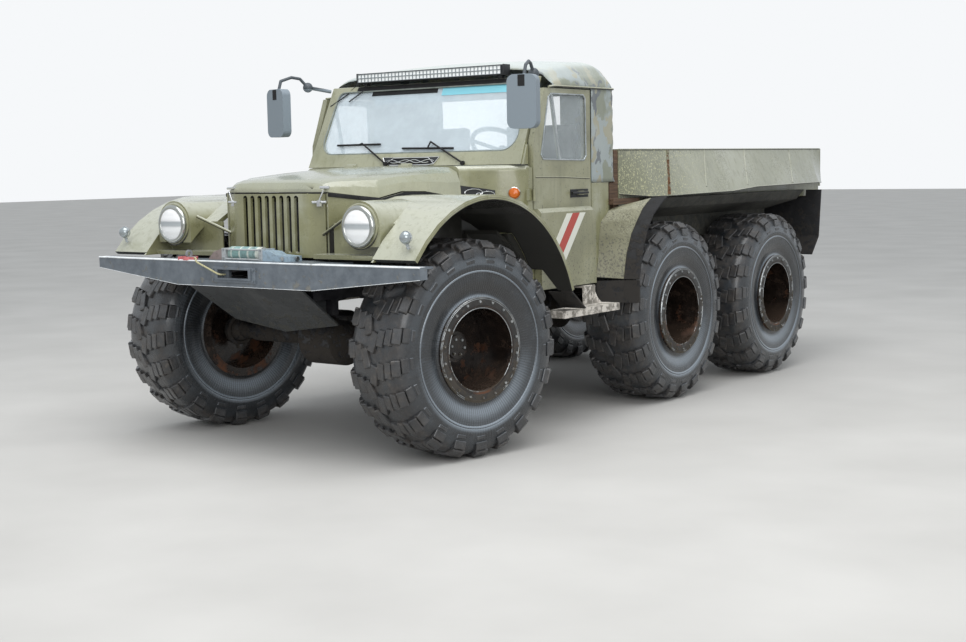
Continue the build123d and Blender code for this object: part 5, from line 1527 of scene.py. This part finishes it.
finish_piece(bm, "sun_strip", sun_blue, "chassis", smooth=0)
print("windscreen dressed")

# %% Dashboard, instruments and cables
bm = bmesh.new()
add_plate(bm, [(-700, 740, 1440), (700, 740, 1440), (700, 860, 1400), (-700, 860, 1400)], (0, 0, -30))
add_box(bm, (230, 830, 1400), (590, 870, 1475))
for x in (330, 480):
    add_bar(bm, (x, 868, 1440), (x, 878, 1444), 42, 28)
add_run(bm, [(-556, 917, 1973), (-640, 890, 1900), (-745, 854, 1834)], 4)
add_run(bm, [(-505, 894, 1922), (-605, 865, 1857)], 4)
finish_piece(bm, "dash_and_cables", black_plastic, "chassis")
print("dash made")

# %% [markdown]
# ## Doors and mirrors
# The doors get a pressed bead, a light edging round the window, a dark plate of painted shade for the
# pull recess behind the handle and three plain slanted stripes in white, red and white. They ride on
# their doors, so they swing with them. The mirrors get their glass and a dark plate of painted shade
# for the bracket recess, and a gutter runs over each door.

# %% Draw one door's trim, then its mirror image
WINDOW_EDGE = [(850, 1488), (1262, 1480), (1286, 1505), (1281, 1828), (1262, 1848), (932, 1848), (905, 1828),
               (830, 1512), (850, 1488)]


def door_piece(name, draw, material):
    """Draws the left door's trim and its mirror image, each riding on its own door."""
    for label in ("left", "right"):
        bm = bmesh.new()
        draw(bm)
        if label == "right":
            bmesh.ops.scale(bm, verts=bm.verts, vec=Vector((-1, 1, 1)))
            bmesh.ops.reverse_faces(bm, faces=bm.faces)
        finish_piece(bm, name + "_" + label, material, "door_" + label)


def draw_edging(bm):
    """A light edging round the window, and the bar of its vent pane."""
    add_run(bm, [(821, y, z) for y, z in WINDOW_EDGE], 4.5)
    add_bar(bm, (808, 957, 1846), (808, 1034, 1486), 8)


def draw_bead(bm):
    """The pressed bead under the window."""
    add_run(bm, [(819.5, 775, 1391), (819.5, 1060, 1386), (819.5, 1322, 1375)], 4)


def draw_pull_and_recess_shade(bm):
    """A dark plate of painted shade for the recess, and the bent pull in front of it."""
    add_box(bm, (819, 1118, 1270), (823, 1302, 1316))
    add_run(bm, [(836, 1118, 1295), (851, 1150, 1296), (851, 1250, 1296), (836, 1290, 1295)], 8, 10)


door_edging = worn_steel("polished_window_edging", "#aab0b2", "#8b9193", "#c4c8c9", mud="#77756b", mud_none=1500,
                         gloss=0.25, metallic=0.6)
door_piece("window_edging", draw_edging, door_edging)
door_piece("door_bead", draw_bead, door_enamel)
door_piece("door_pull_and_recess_shade", draw_pull_and_recess_shade, black_plastic)
print("window edge points:", len(WINDOW_EDGE))

# %% Stripes on the doors
STRIPE_LOW, STRIPE_HIGH, STRIPE_SLANT = 925, 1185, 0.8
stripe_red = new_material("faded_red_stripe", Roughness=0.5, Base_Color="#a8483f")
stripe_white = new_material("faded_white_stripe", Roughness=0.5, Base_Color="#cfcfc4")
STRIPES = [
    # name, start along the truck, width, paint
    ("front_stripe", 800, 58, stripe_white),
    ("middle_stripe", 860, 72, stripe_red),
    ("rear_stripe", 934, 58, stripe_white),
]


def draw_stripe(start, wide):
    """Gives a function that draws a slanted flat stripe on the door's bulge."""
    rise = (STRIPE_HIGH - STRIPE_LOW) * STRIPE_SLANT
    corners = [(868.2, start, STRIPE_LOW), (868.2, start + wide, STRIPE_LOW),
               (868.2, start + wide + rise, STRIPE_HIGH), (868.2, start + rise, STRIPE_HIGH)]
    return lambda bm: add_plate(bm, corners, (1.2, 0, 0))


for name, start, wide, paint in STRIPES:
    door_piece(name, draw_stripe(start, wide), paint)
print("stripes on a door:", len(STRIPES))

# %% Mirror glass and the bracket recess's painted shade
MIRROR_HEAD, MIRROR_TOE = (897, 561, 0), math.radians(12.0)


def mirror_box(bm, low, high):
    """A box drawn about the mirror head's middle, turned and moved to its place."""
    low, high = Vector(low) * MM, Vector(high) * MM
    matrix = Matrix.Translation((low + high) / 2) @ Matrix.Diagonal((*(high - low), 1.0))
    seat = Matrix.Translation(place(*MIRROR_HEAD)) @ Matrix.Rotation(MIRROR_TOE, 4, "Z")
    bmesh.ops.transform(bm, matrix=seat, verts=bmesh.ops.create_cube(bm, size=1.0, matrix=matrix)["verts"])


bm = bmesh.new()
mirror_box(bm, (-68, 28, 1672), (68, 30.5, 1913))
round_edges(bm, [e for e in bm.edges if abs(e.verts[0].co.z - e.verts[1].co.z) < MM and e.calc_length() < 10 * MM],
            24, segments=6)
both_sides(bm)
finish_piece(bm, "mirror_panes", mirror_glass, "chassis", smooth=30)
bm = bmesh.new()
# A dark plate of painted shade for the recess where the bracket goes in.
mirror_box(bm, (-20, -31, 1872), (20, -27, 1932))
both_sides(bm)
round_edges(bm, bm.edges[:], 1.5, segments=1)
finish_piece(bm, "mirror_recess_shades", seal_rubber, "chassis", smooth=30)
print("mirrors made")

# %% Roof gutters
GUTTER = [(827, 905, 1884), (828, 960, 1890), (828, 1340, 1890), (827, 1575, 1890)]
bm = bmesh.new()
add_run(bm, GUTTER, 7)
both_sides(bm)
finish_piece(bm, "roof_gutters", enamel, "chassis")
print("gutter points:", len(GUTTER))

# %% [markdown]
# ## Bed details
# A lip runs along the side sheets' lower edge and a bead along their top. Two sheets meet on the side
# under a riveted strap, and the sheet is creased at its stiffeners. A low sill closes the floor's end
# in front of the tailgate. The tail lamps get red lenses.

# %% Lips, creases and the sill
BED_LIP = [(822, 1640, 1277), (908, 1880, 1257), (930, 2100, 1257), (935, 2900, 1265), (932, 3250, 1285),
           (925, 4280, 1294), (840, 4515, 1291)]
BED_TOP_X, BED_TOP_Z = 822, 1542
CREASES_Y = (2650, 3220, 3930)


def on_side(y, z, out=0.0):
    """A point on the leaning bed side, which runs from its straight top to the lip."""
    low_x, low_z = next((xa + (xb - xa) * (y - ya) / (yb - ya), za + (zb - za) * (y - ya) / (yb - ya))
                        for (xa, ya, za), (xb, yb, zb) in zip(BED_LIP, BED_LIP[1:]) if ya <= y <= yb)
    share = (BED_TOP_Z - z) / (BED_TOP_Z - low_z)
    return (BED_TOP_X + (low_x - BED_TOP_X) * share + out, y, z)


bm = bmesh.new()
add_run(bm, BED_LIP, 4.5)
for y in CREASES_Y:
    add_run(bm, [on_side(y + 50, 1536, -2), on_side(y - 90, 1300, -2)], 6.0)
add_run(bm, [(824, 1642, 1539), (824, 4513, 1539)], 5)
both_sides(bm)
add_box(bm, (-806, 4505.5, 1208), (806, 4512.5, 1273))
finish_piece(bm, "bed_lips", bed_enamel, "chassis")
print("bed lips:", len(BED_LIP) - 1)

# %% The riveted strap and the tail lenses
RIVETS = 6
STRAP = [(2205, 1538), (2232, 1538), (2078, 1262), (2051, 1262)]
rusty_strap = worn_steel("rusty_strap", "#6d6a54", "#57472f", "#83816a", mud="#5f4128", mud_top=1300, mud_none=1900)
bm = bmesh.new()
add_plate(bm, [on_side(y, z) for y, z in STRAP], (3, 0, 1))
for i in range(RIVETS):
    x, y, z = on_side(2206 - 25 * i, 1515 - 45 * i, 2)
    add_bar(bm, (x, y, z), (x + 6, y, z + 2), 5, 8)
both_sides(bm)
finish_piece(bm, "bed_straps", rusty_strap, "chassis")
bm = bmesh.new()
for x in (608, 682):
    spin_lamp(bm, [(30, -9.2), (29, -12), (22, -17.5), (10, -19), (0, -19.4)], (x, 4499, 1154))
both_sides(bm)
finish_piece(bm, "tail_lenses", red_lens, "chassis", smooth=60)
print("rivets on a strap:", RIVETS)

# %% [markdown]
# ## Floor and light
# The photograph was taken under an overcast sky, so the light comes from everywhere and a little more
# from above. A pale world does most of it. A large soft lamp above gives the bonnet its sheen, and
# one ahead fills the shadows on the front.

# %% Lay the floor
FLOOR_HALF = 60.0
floor_material = new_material("matte_studio_floor", Roughness=0.9)
tree = floor_material.node_tree
grain = add_node(tree, "TexNoise", add_node(tree, "TexCoord", output="Object"), 1000 / 900, 4.0)
set_sockets(floor_material, Base_Color=add_node(tree, "ValToRGB", grain, steps=[(0.3, "#b4b2ae"), (0.7, "#bebcb8")]))
bm = bmesh.new()
bmesh.ops.create_grid(bm, x_segments=1, y_segments=1, size=FLOOR_HALF)
mesh = bpy.data.meshes.new("floor")
bm.to_mesh(mesh)
bm.free()
mesh.materials.append(floor_material)
floor = bpy.data.objects.new("floor", mesh)
bpy.context.scene.collection.objects.link(floor)
floor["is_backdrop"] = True
print("floor:", 2 * FLOOR_HALF, "m wide")

# %% Hang the sky
world = bpy.data.worlds.new("overcast_sky")
bpy.context.scene.world = world
world.use_nodes = True
sky = world.node_tree
sky_light = sky.nodes["Background"]
feed(sky, sky_light.inputs["Color"], "#eef3f8")
feed(sky, sky_light.inputs["Strength"], 0.90)
seen_sky = add_node(sky, "Background", "#f6f8fa", 1.0)
straight = add_node(sky, "LightPath", output="Is Camera Ray")
both_skies = add_node(sky, "MixShader", straight, sky_light.outputs[0], seen_sky)
feed(sky, sky.nodes["World Output"].inputs["Surface"], both_skies)
bpy.context.scene.view_settings.view_transform = "Standard"
print("sky strength:", round(sky_light.inputs["Strength"].default_value, 2))

# %% Place the lamps
SOFT_LAMPS = [
    # name, place, looks toward, size in metres, power in watts
    ("sky_panel", (1.5, -2.5, 8.0), (0, 0, 0.8), 7.0, 520),
    ("front_fill", (7.0, -8.0, 4.0), (0, -1.0, 0.9), 5.0, 290),
]
for name, at, toward, size, power in SOFT_LAMPS:
    data = bpy.data.lights.new(name, "AREA")
    data.size = size
    data.energy = power
    lamp = bpy.data.objects.new(name, data)
    lamp.location = at
    lamp.rotation_mode = "QUATERNION"
    lamp.rotation_quaternion = (Vector(toward) - Vector(at)).to_track_quat("-Z", "Y")
    bpy.context.scene.collection.objects.link(lamp)
print("lamps:", len(SOFT_LAMPS))

# %% [markdown]
# The rope follows its smooth line, so its length is measured from it.

print("rope and canvas made")

# %% [markdown]
# ## The dressed truck's size
# The size of the dressed truck's box is printed.

# %% Print the size
low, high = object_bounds()
print("size:", [round(b - a, 3) for a, b in zip(low, high)])
